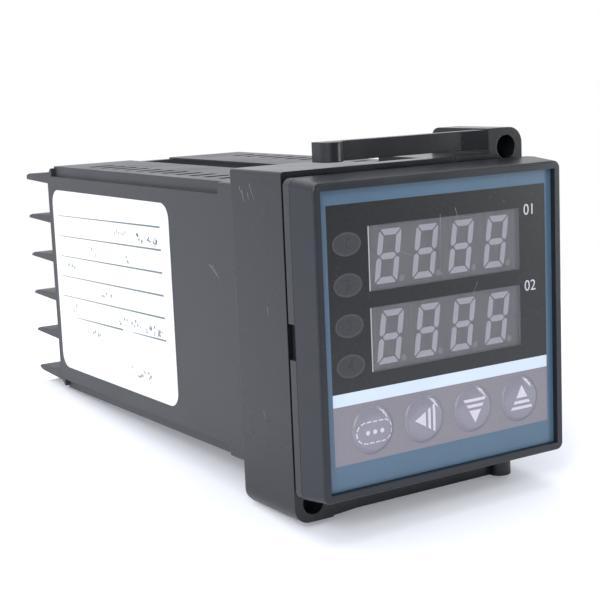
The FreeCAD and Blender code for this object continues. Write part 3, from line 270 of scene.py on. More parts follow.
def plain_surface(name, colour, roughness, metallic=0.0, variation=0.08):
    """A small part's surface: one colour with slight variation, and faint relief."""
    material, tree, shader, place = new_material(name)
    patches = speckle(tree, place, 3, 0.3, 0.7, 3.0)
    shade = put(tree, "ShaderNodeMath", {0: patches, 1: variation * 2}, operation="MULTIPLY")
    shaded = put(tree, "ShaderNodeMix",
                 {"Factor": shade.outputs[0], MIX_A: rgb(colour), MIX_B: rgb("#000000")},
                 data_type="RGBA")
    tree.links.new(shaded.outputs[MIX_RESULT], shader.inputs["Base Color"])
    shader.inputs["Roughness"].default_value = roughness
    shader.inputs["Metallic"].default_value = metallic
    relief(tree, shader, place, 0.3, 0.05, 0.08)
    return material


case_abs = moulded_plastic("moulded_abs_case", "#202327", "#282b2f", 0.36, edge=0.22)
frame_abs = moulded_plastic("moulded_abs_clamp_frame", "#121419", "#191b20", 0.27,
                            grain_strength=0.03, edge=0.2)
bezel_abs = moulded_plastic("moulded_abs_front", "#14181f", "#1a1f27", 0.33, grain_strength=0.05)
block_nylon = moulded_plastic("moulded_nylon_terminal_block", "#2b2d30", "#34363a", 0.45)


def polyester(name, colour, roughness=0.3, texture=0.16):
    """Printed polyester film: ink under a clear satin skin.

    It has the film's fine cast texture and a little lint."""
    material, tree, shader, place = new_material(name)
    colour = rgb(colour)
    # uneven ink, the film's cast, and lint: each a size in mm, levels, detail, share and tint
    for size, low, high, detail, share, tint in ((18, 0.3, 0.7, 2.0, 0.08, "#000000"),
                                                 (0.45, 0.3, 0.7, 3.0, texture, "#5a5c60"),
                                                 (0.35, 0.76, 0.80, 1.0, 0.18, "#c9ccd2")):
        patches = speckle(tree, place, size, low, high, detail)
        amount = put(tree, "ShaderNodeMath", {0: patches, 1: share}, operation="MULTIPLY")
        colour = put(tree, "ShaderNodeMix",
                     {"Factor": amount.outputs[0], MIX_A: colour, MIX_B: rgb(tint)},
                     data_type="RGBA").outputs[MIX_RESULT]
    tree.links.new(colour, shader.inputs["Base Color"])
    shader.inputs["Roughness"].default_value = roughness
    shader.inputs["IOR"].default_value = 1.57
    relief(tree, shader, place, 0.25, 0.04, 0.05)
    return material


film_blue = polyester("printed_polyester_blue", "#4f6c84", texture=0.08)
film_black = polyester("printed_polyester_black", "#0c0e12", texture=0.08)
film_lilac = polyester("printed_polyester_lilac", "#87848d", texture=0.12)
key_gloss = polyester("embossed_polyester_key", "#8c8b98", 0.13, texture=0.08)
film_stripe = polyester("printed_polyester_pale_stripe", "#d6e5f3", texture=0.03)
ink_pale = polyester("screen_ink_pale", "#d9d4e2", 0.45)
ink_grey = polyester("screen_ink_grey", "#282b31", 0.4)
ink_rim = polyester("screen_ink_rim", "#3a3c43", 0.4)
ink_scratch = polyester("scratched_film_skin", "#8b8e94", 0.5)
ink_dark = polyester("screen_ink_dark", "#1c1d20", 0.5)


def window_polyester():
    """Clear film over the displays, with a haze that greys what lies behind."""
    material, tree, shader, place = new_material("clear_polyester_window")
    shader.inputs["Base Color"].default_value = rgb("#8b8b8f")
    shader.inputs["Roughness"].default_value = 0.25
    shader.inputs["IOR"].default_value = 1.57
    shader.inputs["Alpha"].default_value = 0.22
    relief(tree, shader, place, 0.3, 0.03, 0.05)
    return material


def display_reflector():
    """Moulded reflector block of a numeric display, painted grey, with faint drawn lines."""
    material, tree, shader, place = new_material("painted_display_reflector")
    drawn_out = put(tree, "ShaderNodeMapping", {"Vector": place, "Scale": (1.0, 1.0, 0.05)})
    lines = speckle(tree, drawn_out.outputs[0], 0.35, 0.35, 0.65)
    grey = put(tree, "ShaderNodeMix",
               {"Factor": lines, MIX_A: rgb("#55565b"), MIX_B: rgb("#66676c")}, data_type="RGBA")
    tree.links.new(grey.outputs[MIX_RESULT], shader.inputs["Base Color"])
    shader.inputs["Roughness"].default_value = 0.55
    return material


def label_vinyl():
    """White vinyl label stock with a slight orange-peel."""
    material, tree, shader, place = new_material("white_vinyl_label")
    slow = speckle(tree, place, 12, 0.3, 0.7)
    white = put(tree, "ShaderNodeMix",
                {"Factor": slow, MIX_A: rgb("#eceeee"), MIX_B: rgb("#f4f5f5")}, data_type="RGBA")
    tree.links.new(white.outputs[MIX_RESULT], shader.inputs["Base Color"])
    shader.inputs["Roughness"].default_value = 0.5
    relief(tree, shader, place, 0.8, 0.05, 0.05)
    return material


def circuit_laminate():
    """Green solder mask over copper tracks on glass epoxy: the tracks are raised paler lines."""
    material, tree, shader, place = new_material("solder_mask_on_glass_epoxy")
    tracks = put(tree, "ShaderNodeTexVoronoi",
                 {"Vector": place, "Scale": per_mm(2.2), "Randomness": 0.35},
                 distance="MANHATTAN", feature="F1")
    edge = put(tree, "ShaderNodeMapRange",
               {"Value": tracks.outputs["Distance"], "From Min": 0.38, "From Max": 0.46})
    green = put(tree, "ShaderNodeMix",
                {"Factor": edge.outputs["Result"], MIX_A: rgb("#16382b"), MIX_B: rgb("#21503c")},
                data_type="RGBA")
    tree.links.new(green.outputs[MIX_RESULT], shader.inputs["Base Color"])
    shader.inputs["Roughness"].default_value = 0.35
    bump = put(tree, "ShaderNodeBump",
               {"Height": edge.outputs["Result"], "Strength": 0.3, "Distance": 0.05 * MM})
    tree.links.new(bump.outputs["Normal"], shader.inputs["Normal"])
    return material


WAVES_PER_UNIT = 20  # a wave texture of scale 1 has about so many bands to a unit


def banded_surface(name, spacing, distortion, dark, pale, roughness, proud, metallic=0.0):
    """Bands across the piece, a spacing in mm apart, that stand a little proud of each other."""
    material, tree, shader, place = new_material(name)
    bands = put(tree, "ShaderNodeTexWave",
                {"Vector": place, "Scale": per_mm(spacing) / WAVES_PER_UNIT,
                 "Distortion": distortion}, bands_direction="X")
    tone = put(tree, "ShaderNodeMix",
               {"Factor": bands.outputs["Fac"], MIX_A: rgb(dark), MIX_B: rgb(pale)},
               data_type="RGBA")
    tree.links.new(tone.outputs[MIX_RESULT], shader.inputs["Base Color"])
    shader.inputs["Metallic"].default_value = metallic
    shader.inputs["Roughness"].default_value = roughness
    bump = put(tree, "ShaderNodeBump",
               {"Height": bands.outputs["Fac"], "Strength": proud, "Distance": 0.1 * MM})
    tree.links.new(bump.outputs["Normal"], shader.inputs["Normal"])
    return material


# yellow polyester tape wound round a coil: each turn's edge shows
winding_tape = banded_surface("polyester_winding_tape", 1.6, 1.0, "#a8832c", "#caa540", 0.3, 0.4)
# edges of stacked core sheets: fine dark lines across the stack, under a thin lacquer
core_steel = banded_surface("lacquered_core_laminations", 0.5, 0.6, "#4c4a47", "#8b8780",
                            0.45, 0.3, metallic=0.8)
zinc_steel = plain_surface("zinc_plated_steel", "#c2bfb2", 0.32, metallic=1.0, variation=0.12)
tinned_brass = plain_surface("tin_plated_brass", "#c9c3ae", 0.3, metallic=1.0, variation=0.12)
segment_epoxy = plain_surface("milky_segment_epoxy", "#c6c9d5", 0.5, variation=0.02)
point_epoxy = plain_surface("unlit_point_epoxy", "#85868d", 0.5, variation=0.02)
# painted highlight: this pale colour stands in for the light that each display pane's left edge
# catches
pane_edge_highlight_paint = plain_surface("painted_pane_edge_highlight", "#b4b5ba", 0.5, variation=0.05)
lamp_epoxy = plain_surface("tinted_lamp_epoxy", "#4a4b4f", 0.25)
switch_black = plain_surface("moulded_switch_nylon", "#26272a", 0.5)
plunger_ivory = plain_surface("moulded_plunger_acetal", "#c9c3ae", 0.5)
relay_blue = plain_surface("moulded_relay_cover", "#274a7c", 0.4)
can_sleeve = plain_surface("shrunk_vinyl_sleeve", "#23262e", 0.35)
can_top = plain_surface("drawn_aluminium_can", "#b9bcc0", 0.35, metallic=1.0)
chip_epoxy = plain_surface("moulded_chip_epoxy", "#26272a", 0.6)
solder = plain_surface("bright_solder", "#b9bcc0", 0.25, metallic=1.0)
gold_plate = plain_surface("gold_plated_copper", "#d2a94e", 0.3, metallic=1.0)

FINISHES = {
    "housing": case_abs,
    "rating_label": label_vinyl(),
    "rear_terminal_block": block_nylon,
    "terminal_contacts": tinned_brass,
    "clamp_washers": zinc_steel,
    "terminal_screws": zinc_steel,
    "mounting_frame": frame_abs,
    "front_bezel": bezel_abs,
    "overlay_film": film_blue,
    "window_panes": window_polyester(),
    "indicator_lamps": lamp_epoxy,
    "key_switches": switch_black,
    "board_headers": switch_black,
    "transformer_core": core_steel,
    "transformer_winding": winding_tape,
    "output_relay": relay_blue,
    "filter_capacitors": can_sleeve,
    "logic_chips": chip_epoxy,
    "board_spacer": switch_black,
}
laminate = circuit_laminate()
reflector = display_reflector()
for name in ("display_board", "main_board", "power_board"):
    FINISHES[name] = laminate
for name in ("upper", "lower"):
    FINISHES[f"{name}_display"] = reflector
    FINISHES[f"{name}_segments"] = segment_epoxy
for name in KEYS:
    FINISHES[f"{name}_key"] = key_gloss
    FINISHES[f"{name}_plunger"] = plunger_ivory

for name, material in FINISHES.items():
    NODES[name].data.materials.clear()
    NODES[name].data.materials.append(material)


# ---------------------------------------------------------------- print on the front film

FIELD_HALF = 20.9 * MM
WINDOW_TOP = 20.1 * MM
STRIPE_TOP = -7.6 * MM
STRIPE_BOTTOM = -9.5 * MM
KEY_FIELD_BOTTOM = -18.4 * MM
KEY_SLIT = 0.12 * MM
LAMP_OVAL = (2.55 * MM, 1.75 * MM)  # half width and half height
LAMP_RIM = 0.3 * MM
LAMP_PITCH = 6.0 * MM
PANE_HEIGHT = 9.7 * MM
NUMERAL_HEIGHT = 1.7 * MM
MARK_ACROSS = 17.6 * MM
MARK_LIFT = 4.4 * MM
ICON_DROP = 0.25 * MM  # the first key's print sits a little below its centre


def key_centre(name):
    return middle(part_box(f"{name}_key"))


KEY_RADIUS = (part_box("set_key")[1].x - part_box("set_key")[0].x) / 2
DOME_RADIUS = KEY_RADIUS + KEY_SLIT + 0.1 * MM
DOME_CROWN = 0.6 * MM
DOME_SHOULDER = 6  # exponent of the fall: the higher, the flatter the top
CAP_RADIUS = KEY_RADIUS - 0.25 * MM
LAMP_UP = [LAMPS[1].z - (LAMPS[1].x - LAMPS[0].x) / 2 - i * LAMP_PITCH for i in range(4)]


def dome_height(reach):
    """Height of an embossed key over the film: a flat top that falls steeply at the shoulder."""
    return DOME_CROWN * (1 - (reach / DOME_RADIUS) ** DOME_SHOULDER)


def print_fields():
    """Colour fields of the film: black round the displays, a pale stripe, the lilac key field."""
    panes = []
    for display in (UPPER, LOWER):
        up = middle(display).z
        panes.append(rectangle_points(PANES[0].x, PANES[1].x,
                                      up - PANE_HEIGHT / 2, up + PANE_HEIGHT / 2))
    window = [rectangle_points(-FIELD_HALF, FIELD_HALF, STRIPE_TOP, WINDOW_TOP)] + panes
    keys = [circle_points(key_centre(k).x, key_centre(k).z, KEY_RADIUS + KEY_SLIT) for k in KEYS]
    lilac = [rectangle_points(-FIELD_HALF, FIELD_HALF, KEY_FIELD_BOTTOM, STRIPE_BOTTOM)] + keys
    stripe = [rectangle_points(-FIELD_HALF, FIELD_HALF, STRIPE_BOTTOM, STRIPE_TOP)]
    fields = (("window_field", window, film_black), ("stripe_field", stripe, film_stripe),
              ("key_field", lilac, film_lilac))
    for name, outlines, material in fields:
        plate = flat_plate(name, outlines, FILM_FRONT - INK, INK)
        finish_piece(plate, material, "chassis")


def print_lamp_ovals():
    """Grey ovals with a paler rim over the indicator lamps, and a plain numeral on each."""
    across = middle(LAMPS).x
    half_width, half_height = LAMP_OVAL
    outer = [ellipse_points(across, up, half_width, half_height) for up in LAMP_UP]
    inner = [ellipse_points(across, up, half_width - LAMP_RIM, half_height - LAMP_RIM)
             for up in LAMP_UP]
    rims = flat_plate("lamp_oval_rims", outer + inner, FILM_FRONT - 2 * INK, INK)
    finish_piece(rims, ink_rim, "chassis")
    ovals = flat_plate("lamp_ovals", inner, FILM_FRONT - 2 * INK, INK)
    finish_piece(ovals, ink_grey, "chassis")
    meshes = []
    for index, up in enumerate(LAMP_UP):
        mesh = text_outlines(str(index + 1), NUMERAL_HEIGHT, across, up)
        mesh.transform(Matrix.Translation((0, FILM_FRONT - 2.5 * INK, 0)))
        meshes.append(mesh)
    finish_piece(join_meshes("lamp_numerals", meshes), ink_dark, "chassis")


def print_display_marks():
    """Small pale numerals beside the two displays."""
    meshes = []
    for text, display in (("01", UPPER), ("02", LOWER)):
        mesh = text_outlines(text, NUMERAL_HEIGHT, MARK_ACROSS, middle(display).z + MARK_LIFT)
        mesh.transform(Matrix.Translation((0, FILM_FRONT - 1.5 * INK, 0)))
        meshes.append(mesh)
    finish_piece(join_meshes("display_marks", meshes), ink_pale, "chassis")


def on_dome(mesh, centre):
    """Lay a flat sheet, drawn in X and Z about the origin, on a key's dome, as thick as ink."""
    bm = bmesh.new()
    bm.from_mesh(mesh)
    bmesh.ops.triangulate(bm, faces=bm.faces)
    for _ in range(2):
        bmesh.ops.subdivide_edges(bm, edges=bm.edges, cuts=1, use_grid_fill=True)
    for vertex in bm.verts:
        reach = Vector((vertex.co.x, vertex.co.z)).length
        vertex.co.y = FILM_FRONT - dome_height(reach) - INK
        vertex.co.x += centre.x
        vertex.co.z += centre.z
    bmesh.ops.recalc_face_normals(bm, faces=bm.faces)
    for face in bm.faces:
        if face.normal.y > 0:
            face.normal_flip()
    skin = bmesh.ops.extrude_face_region(bm, geom=bm.faces[:])
    for item in skin["geom"]:
        if isinstance(item, bmesh.types.BMVert):
            item.co.y += 2 * INK
    bmesh.ops.recalc_face_normals(bm, faces=bm.faces)
    bm.to_mesh(mesh)
    bm.free()


def sheet_of(outlines):
    """Flat open mesh of separate convex outlines, in X and Z."""
    mesh = bpy.data.meshes.new("icon")
    vertices = []
    faces = []
    for points in outlines:
        start = len(vertices)
        vertices += [(across, 0, up) for across, up in points]
        faces.append(list(range(start, start + len(points))))
    mesh.from_pydata(vertices, [], faces)
    return mesh


def stadium_dashes():
    """Dashes that follow a stadium-shaped path: the outline printed on the first key."""
    half_length = 1.6 * MM
    radius = 1.6 * MM
    path = bpy.data.curves.new("stadium_path", "CURVE")
    path.dimensions = "3D"
    spline = path.splines.new("POLY")
    points = []
    for centre, start in ((half_length, -90), (-half_length, 90)):
        for step in range(13):
            turn = math.radians(start + 15 * step)
            points.append((centre + radius * math.cos(turn), 0,
                           radius * math.sin(turn) - ICON_DROP, 1))
    spline.points.add(len(points) - 1)
    for point, place in zip(spline.points, points):
        point.co = place
    spline.use_cyclic_u = True
    drawn = bpy.data.objects.new("stadium_path", path)
    bpy.context.scene.collection.objects.link(drawn)
    tree = bpy.data.node_groups.new("dashes_along_path", "GeometryNodeTree")
    tree.interface.new_socket("Path", in_out="INPUT", socket_type="NodeSocketGeometry")
    for label in ("Dash length", "Dash width", "Pitch"):
        tree.interface.new_socket(label, in_out="INPUT", socket_type="NodeSocketFloat")
    tree.interface.new_socket("Dashes", in_out="OUTPUT", socket_type="NodeSocketGeometry")
    given = tree.nodes.new("NodeGroupInput").outputs
    spots = put(tree, "GeometryNodeCurveToPoints",
                {"Curve": given["Path"], "Length": given["Pitch"]}, mode="LENGTH")
    dash = put(tree, "GeometryNodeMeshGrid",
               {"Size X": given["Dash length"], "Size Y": given["Dash width"],
                "Vertices X": 2, "Vertices Y": 2})
    # the dash lies in the X-Z plane and turns with the path
    upright = put(tree, "GeometryNodeTransform",
                  {"Geometry": dash.outputs["Mesh"], "Rotation": (math.radians(90), 0, 0)})
    turned = put(tree, "FunctionNodeAlignRotationToVector",
                 {"Vector": spots.outputs["Tangent"]}, axis="X", pivot_axis="Y")
    placed = put(tree, "GeometryNodeInstanceOnPoints",
                 {"Points": spots.outputs["Points"], "Instance": upright.outputs["Geometry"],
                  "Rotation": turned.outputs["Rotation"]})
    real = put(tree, "GeometryNodeRealizeInstances", {"Geometry": placed.outputs["Instances"]})
    inked = put(tree, "GeometryNodeSetMaterial",
                {"Geometry": real.outputs["Geometry"], "Material": ink_pale})
    put(tree, "NodeGroupOutput", {"Dashes": inked.outputs["Geometry"]})
    return grown_mesh(drawn, tree, {"Dash length": 0.8 * MM, "Dash width": 0.2 * MM,
                                    "Pitch": 1.15 * MM})


def sliced_arrow(turn, shift):
    """A triangle cut by two gaps: an arrow behind two bars. It points up before its turn."""
    half_base = 2.25 * MM
    height = 3.9 * MM
    pivot = 0.45  # share of the height about which it turns
    slices = ((0, 0.12), (0.235, 0.36), (0.475, 1.0))  # as shares of the height, from the base
    outlines = []
    for low, high in slices:
        corners = [(-half_base * (1 - low), low), (half_base * (1 - low), low)]
        if high == 1:
            corners += [(0, high)]
        else:
            corners += [(half_base * (1 - high), high), (-half_base * (1 - high), high)]
        placed = []
        for across, share in corners:
            up = (share - pivot) * height
            placed.append((across * math.cos(turn) - up * math.sin(turn),
                           across * math.sin(turn) + up * math.cos(turn) + shift))
        outlines.append(placed)
    return outlines


def key_icons():
    """The sheets of ink on each key, drawn about the key's centre."""
    dots = [circle_points(across * MM, -ICON_DROP, 0.36 * MM, 20) for across in (-1.3, 0, 1.3)]
    quarter = math.radians(90)
    return {
        "set": [sheet_of(dots), stadium_dashes()],
        "shift": [sheet_of(sliced_arrow(quarter, 0))],
        "down": [sheet_of(sliced_arrow(2 * quarter, -0.1 * MM))],
        "up": [sheet_of(sliced_arrow(0, 0.1 * MM))],
    }


def turned(name, centres, profile, count=96):
    """Closed ring or cap turned about each key's axis.

    The profile is a list of radius and height over the film."""
    def build(bm):
        for centre in centres:
            rings = []
            for radius, height in profile:
                if radius == 0:
                    rings.append([bm.verts.new((centre.x, FILM_FRONT - height, centre.z))])
                else:
                    circle = circle_points(centre.x, centre.z, radius, count)
                    rings.append([bm.verts.new((across, FILM_FRONT - height, up))
                                  for across, up in circle])
            pairs = list(zip(rings, rings[1:]))
            if len(rings[0]) > 1:
                pairs.append((rings[-1], rings[0]))
            for first, second in pairs:
                for i in range(count):
                    j = (i + 1) % count
                    if len(first) == 1:
                        bm.faces.new((first[0], second[i], second[j]))
                    elif len(second) == 1:
                        bm.faces.new((first[i], first[j], second[0]))
                    else:
                        bm.faces.new((first[i], first[j], second[j], second[i]))

    piece = mesh_from(name, build)
    for face in piece.data.polygons:
        face.use_smooth = True
    piece.data.set_sharp_from_angle(angle=math.radians(50))
    return piece


def emboss_keys():
    """Embossed keys: a cap that travels, inside a fixed shoulder that carries its curve on."""
    shoulder_steps = 8
    cap_steps = 12
    edge = CAP_RADIUS + 0.02 * MM
    shoulder = []
    for step in range(shoulder_steps + 1):
        radius = DOME_RADIUS + (edge - DOME_RADIUS) * step / shoulder_steps
        shoulder.append((radius, dome_height(radius) + INK))
    shoulder += [(edge, dome_height(edge) - 2 * INK), (KEY_RADIUS, 3 * INK),
                 (KEY_RADIUS + 0.1 * MM, INK / 2)]
    ring = turned("key_shoulders", [key_centre(name) for name in KEYS], shoulder)
    finish_piece(ring, key_gloss, "chassis")
    cap = [(0, dome_height(0))]
    for step in range(1, cap_steps + 1):
        radius = CAP_RADIUS * step / cap_steps
        cap.append((radius, dome_height(radius)))
    cap += [(CAP_RADIUS, INK / 2), (0, INK / 2)]
    for name in KEYS:
        dome = turned(f"{name}_cap", [key_centre(name)], cap)
        finish_piece(dome, key_gloss, f"{name}_button")


def print_keys():
    for name, sheets in key_icons().items():
        for sheet in sheets:
            on_dome(sheet, key_centre(name))
        finish_piece(join_meshes(f"{name}_print", sheets), ink_pale, f"{name}_button")


print_fields()
print_lamp_ovals()
print_display_marks()
print_keys()
emboss_keys()


# ---------------------------------------------------------------- numerals of the displays

DIGIT_PITCH = 6.94 * MM
DIGIT_SHIFT = -0.35 * MM
DIGIT_HALF_WIDTH = 1.62 * MM
DIGIT_HALF_HEIGHT = 3.56 * MM
DIGIT_SLANT = 0.147
SEGMENT_HALF = 0.46 * MM
SEGMENT_GAP = 0.16 * MM
POINT_ACROSS = 2.9 * MM
POINT_RADIUS = 0.5 * MM
# painted highlight: a pale strip along each pane's left edge, in place of the light its edge
# catches
PANE_HIGHLIGHT = (0.2 * MM, 4.8 * MM)  # width and half height


def numeral_outlines():
    """Seven segments of one upright numeral about its centre, mitred, with a pointed middle bar."""
    wide, tall, half, gap = DIGIT_HALF_WIDTH, DIGIT_HALF_HEIGHT, SEGMENT_HALF, SEGMENT_GAP
    nick = 0.3 * MM
    top = [(-wide - half + gap + nick, tall + half), (wide + half - gap - nick, tall + half),
           (wide + half - gap - nick / 2, tall + half - nick / 2), (wide - half - gap, tall - half),
           (gap + half - wide, tall - half), (gap + nick / 2 - wide - half, tall + half - nick / 2)]
    side = [(wide + half, tall + half - gap - nick),
            (wide + half - nick / 2, tall + half - gap - nick / 2),
            (wide - half, tall - half - gap), (wide - half, half + gap), (wide, gap),
            (wide + half, half * 0.6 + gap)]
    slim = half * 0.9
    bar = [(gap - wide, 0), (gap + slim - wide, slim), (wide - slim - gap, slim),
           (wide - gap, 0), (wide - slim - gap, -slim), (gap + slim - wide, -slim)]
    outlines = [bar]
    for flip_up in (1, -1):
        outlines.append([(across, flip_up * up) for across, up in top])
        for flip_across in (1, -1):
            outlines.append([(flip_across * across, flip_up * up) for across, up in side])
    return outlines


def dress_displays():
    """Numerals and decimal points just in front of each display, and a painted highlight: a pale
    strip along its pane's left edge.
    """
    for name, display in (("upper", UPPER), ("lower", LOWER)):
        up = middle(display).z
        first = middle(display).x + DIGIT_SHIFT - 1.5 * DIGIT_PITCH
        face = display[0].y
        digits = []
        points = []
        for index in range(4):
            across = first + index * DIGIT_PITCH
            digits += [[(across + x + z * DIGIT_SLANT, up + z) for x, z in outline]
                       for outline in numeral_outlines()]
            points.append(circle_points(across + POINT_ACROSS - DIGIT_HALF_HEIGHT * DIGIT_SLANT,
                                        up - DIGIT_HALF_HEIGHT, POINT_RADIUS, 24))
        plate = flat_plate(f"{name}_numerals", digits, face - INK, INK)
        finish_piece(plate, segment_epoxy, "chassis")
        plate = flat_plate(f"{name}_points", points, face - INK, INK)
        finish_piece(plate, point_epoxy, "chassis")
        # painted highlight: a pale strip on the film along the pane's left edge, where the window's
        # edge catches the light
        left = PANES[0].x
        width, half_height = PANE_HIGHLIGHT
        highlight_strip = [rectangle_points(left - width, left, up - half_height, up + half_height)]
        plate = flat_plate(f"{name}_painted_pane_highlight", highlight_strip, FILM_FRONT - 2 * INK, INK)
        finish_piece(plate, pane_edge_highlight_paint, "chassis")


dress_displays()


# ---------------------------------------------------------------- detail on the inner boards

LEG_PITCH = 2.54  # these three in mm
CHIP_BAND = 8.0
CONTACT_HEIGHT = 5.6


def block_row_tree():
    """Rows of small blocks, evenly spaced in Y and in Z: legs, solder joints, contact fingers."""
    tree = bpy.data.node_groups.new("rows_of_blocks", "GeometryNodeTree")
    for label in ("Block", "Step along", "Step up"):
        tree.interface.new_socket(label, in_out="INPUT", socket_type="NodeSocketVector")
    for label in ("Count along", "Count up"):
        tree.interface.new_socket(label, in_out="INPUT", socket_type="NodeSocketInt")
    tree.interface.new_socket("Finish", in_out="INPUT", socket_type="NodeSocketMaterial")
    tree.interface.new_socket("Blocks", in_out="OUTPUT", socket_type="NodeSocketGeometry")
    given = put(tree, "NodeGroupInput").outputs
    row = put(tree, "GeometryNodeMeshLine",
              {"Count": given["Count along"], "Offset": given["Step along"]})
    column = put(tree, "GeometryNodeMeshLine",
                 {"Count": given["Count up"], "Offset": given["Step up"]})
    grid = put(tree, "GeometryNodeInstanceOnPoints", {"Points": column.outputs["Mesh"],
                                                      "Instance": row.outputs["Mesh"]})
    spots = put(tree, "GeometryNodeRealizeInstances", {"Geometry": grid.outputs["Instances"]})
    block = put(tree, "GeometryNodeMeshCube", {"Size": given["Block"]})
    placed = put(tree, "GeometryNodeInstanceOnPoints", {"Points": spots.outputs["Geometry"],
                                                        "Instance": block.outputs["Mesh"]})
    real = put(tree, "GeometryNodeRealizeInstances", {"Geometry": placed.outputs["Instances"]})
    plated = put(tree, "GeometryNodeSetMaterial", {"Geometry": real.outputs["Geometry"],
                                                   "Material": given["Finish"]})
    put(tree, "NodeGroupOutput", {"Blocks": plated.outputs["Geometry"]})
    return tree


BLOCK_ROWS = block_row_tree()


def block_rows(first, block, pitch, counts, material):
    """Mesh of blocks in rows from the first one's middle.

    The place of the first, the block's size, and the pitch along Y and up Z are in mm."""
    values = {"Block": tuple(side * MM for side in block),
              "Step along": (0, pitch[0] * MM, 0), "Step up": (0, 0, pitch[1] * MM),
              "Count along": counts[0], "Count up": counts[1], "Finish": material}
    holder = link_mesh("rows", bpy.data.meshes.new("rows"))
    mesh = grown_mesh(holder, BLOCK_ROWS, values)
    mesh.transform(Matrix.Translation(Vector(first) * MM))
    return mesh


def in_mm(length):
    return length / MM


def dress_chips():
    """Legs of the two chips on the main board's outer face, and their solder joints inside."""
    outer, inner = in_mm(MAIN_BOARD[0].x), in_mm(MAIN_BOARD[1].x)
    low, high = in_mm(CHIPS[0].z), in_mm(CHIPS[1].z)
    start = in_mm(CHIPS[0].y) + 2.2
    leg_gap = 0.3
    legs, joints = [], []
    for up, count in ((high + leg_gap, 13), (high - CHIP_BAND - leg_gap, 13),
                      (low - leg_gap, 4), (low + CHIP_BAND + leg_gap, 4)):
        pitch, counts = (LEG_PITCH, 0), (count, 1)
        legs.append(block_rows((outer - 0.9, start, up), (1.8, 0.5, 0.3), pitch, counts, solder))
        joints.append(block_rows((inner + 0.25, start, up), (0.5, 1.3, 1.3), pitch, counts, solder))
    finish_piece(join_meshes("chip_legs", legs), solder, "chassis")
    finish_piece(join_meshes("main_board_joints", joints), solder, "chassis")


def dress_power_board():
    """Solder joints of the relay, the capacitors and the transformer on the power board."""
    face = in_mm(POWER_BOARD[1].x) + 0.25
    small, large = (0.5, 1.6, 1.6), (0.5, 1.9, 1.9)
    up = in_mm(middle(CAPACITORS).z)
    pads = [
        block_rows((face, in_mm(RELAY[0].y) + 3, in_mm(RELAY[0].z) + 3), large,
                   (9.5, 13), (2, 2), solder),
        block_rows((face, in_mm(CAPACITORS[0].y) + 2.5, up), small, (5, 0), (2, 1), solder),
        block_rows((face, in_mm(CAPACITORS[1].y) - 7.5, up), small, (5, 0), (2, 1), solder),
        block_rows((face, in_mm(CORE[0].y) + 3, in_mm(CORE[0].z) + 3), large,
                   (5.3, 18), (4, 2), solder),
    ]
    finish_piece(join_meshes("power_board_joints", pads), solder, "chassis")


def dress_resistors():
    """A field of small chip resistors between the two chips, each with bright ends."""
    outer = in_mm(MAIN_BOARD[0].x)
    first, up = 30, -2.5
    pitch, counts = (3.4, 2.6), (8, 3)
    bodies = [block_rows((outer - 0.35, first, up), (0.7, 2.0, 1.2), pitch, counts, chip_epoxy)]
    finish_piece(join_meshes("surface_resistors", bodies), chip_epoxy, "chassis")
    ends = [block_rows((outer - 0.36, first + aside, up), (0.76, 0.4, 1.26), pitch, counts, solder)
            for aside in (-0.85, 0.85)]
    finish_piece(join_meshes("surface_resistor_ends", ends), solder, "chassis")


def print_fingers():
    """Gold-plated fingers at the rear ends of the two long boards, one for each terminal."""
    pitch = (in_mm(TERMINALS[1].z - TERMINALS[0].z) - CONTACT_HEIGHT) / 4
    thick = 0.06
    fingers = []
    for board, face in ((MAIN_BOARD, in_mm(MAIN_BOARD[0].x) - thick / 2),
                        (POWER_BOARD, in_mm(POWER_BOARD[1].x) + thick / 2)):
        fingers.append(block_rows((face, in_mm(board[1].y) - 3.4, -2 * pitch), (thick, 5.6, 3.4),
                                  (0, pitch), (1, 5), gold_plate))
    finish_piece(join_meshes("gold_fingers", fingers), gold_plate, "chassis")


def dress_capacitors():
    """Bare aluminium tops of the two capacitors, with a small chamfer."""
    radius = (CAPACITORS[1].z - CAPACITORS[0].z) / 2
    up = middle(CAPACITORS).z
    face = CAPACITORS[0].x

    count = 36
    profile = ((0.84, 0), (0.84, 0.12 * MM), (0.78, 0.2 * MM))  # share of the radius, lift

    def build(bm):
        for along in (CAPACITORS[0].y + radius, CAPACITORS[1].y - radius):
            rings = [[bm.verts.new((face - lift, *place))
                      for place in circle_points(along, up, radius * share, count)]
                     for share, lift in profile]
            for near, far in zip(rings, rings[1:]):
                for i in range(count):
                    j = (i + 1) % count
                    bm.faces.new((near[i], near[j], far[j], far[i]))
            bm.faces.new(rings[0][::-1])
            bm.faces.new(rings[-1])

    finish_piece(mesh_from("capacitor_tops", build), can_top, "chassis")


dress_chips()
dress_power_board()
dress_resistors()
print_fingers()
dress_capacitors()


# ---------------------------------------------------------------- print on the label

FIRST_ROW = 4.6  # mm below the label's top
ROW_PITCH = 3.97
LABEL_ROWS = [LABEL[1].z - (FIRST_ROW + ROW_PITCH * row) * MM for row in range(6)]
LABEL_SKEW = 0.018  # the table is printed a little askew on the label


def side_sheet(name, face, strips):
    """Flat ink on a left side, from outlines drawn in Y and Z."""
    def build(bm):
        for outline in strips:
            layers = [[bm.verts.new((face - INK * lift, along, up)) for along, up in outline]
                      for lift in (0.2, 1.2)]
            bm.faces.new(layers[0])
            bm.faces.new(layers[1][::-1])
            for near, far in ((0, 1), (1, 2), (2, 3), (3, 0)):
                bm.faces.new((layers[0][near], layers[1][near], layers[1][far], layers[0][far]))

    return mesh_from(name, build)


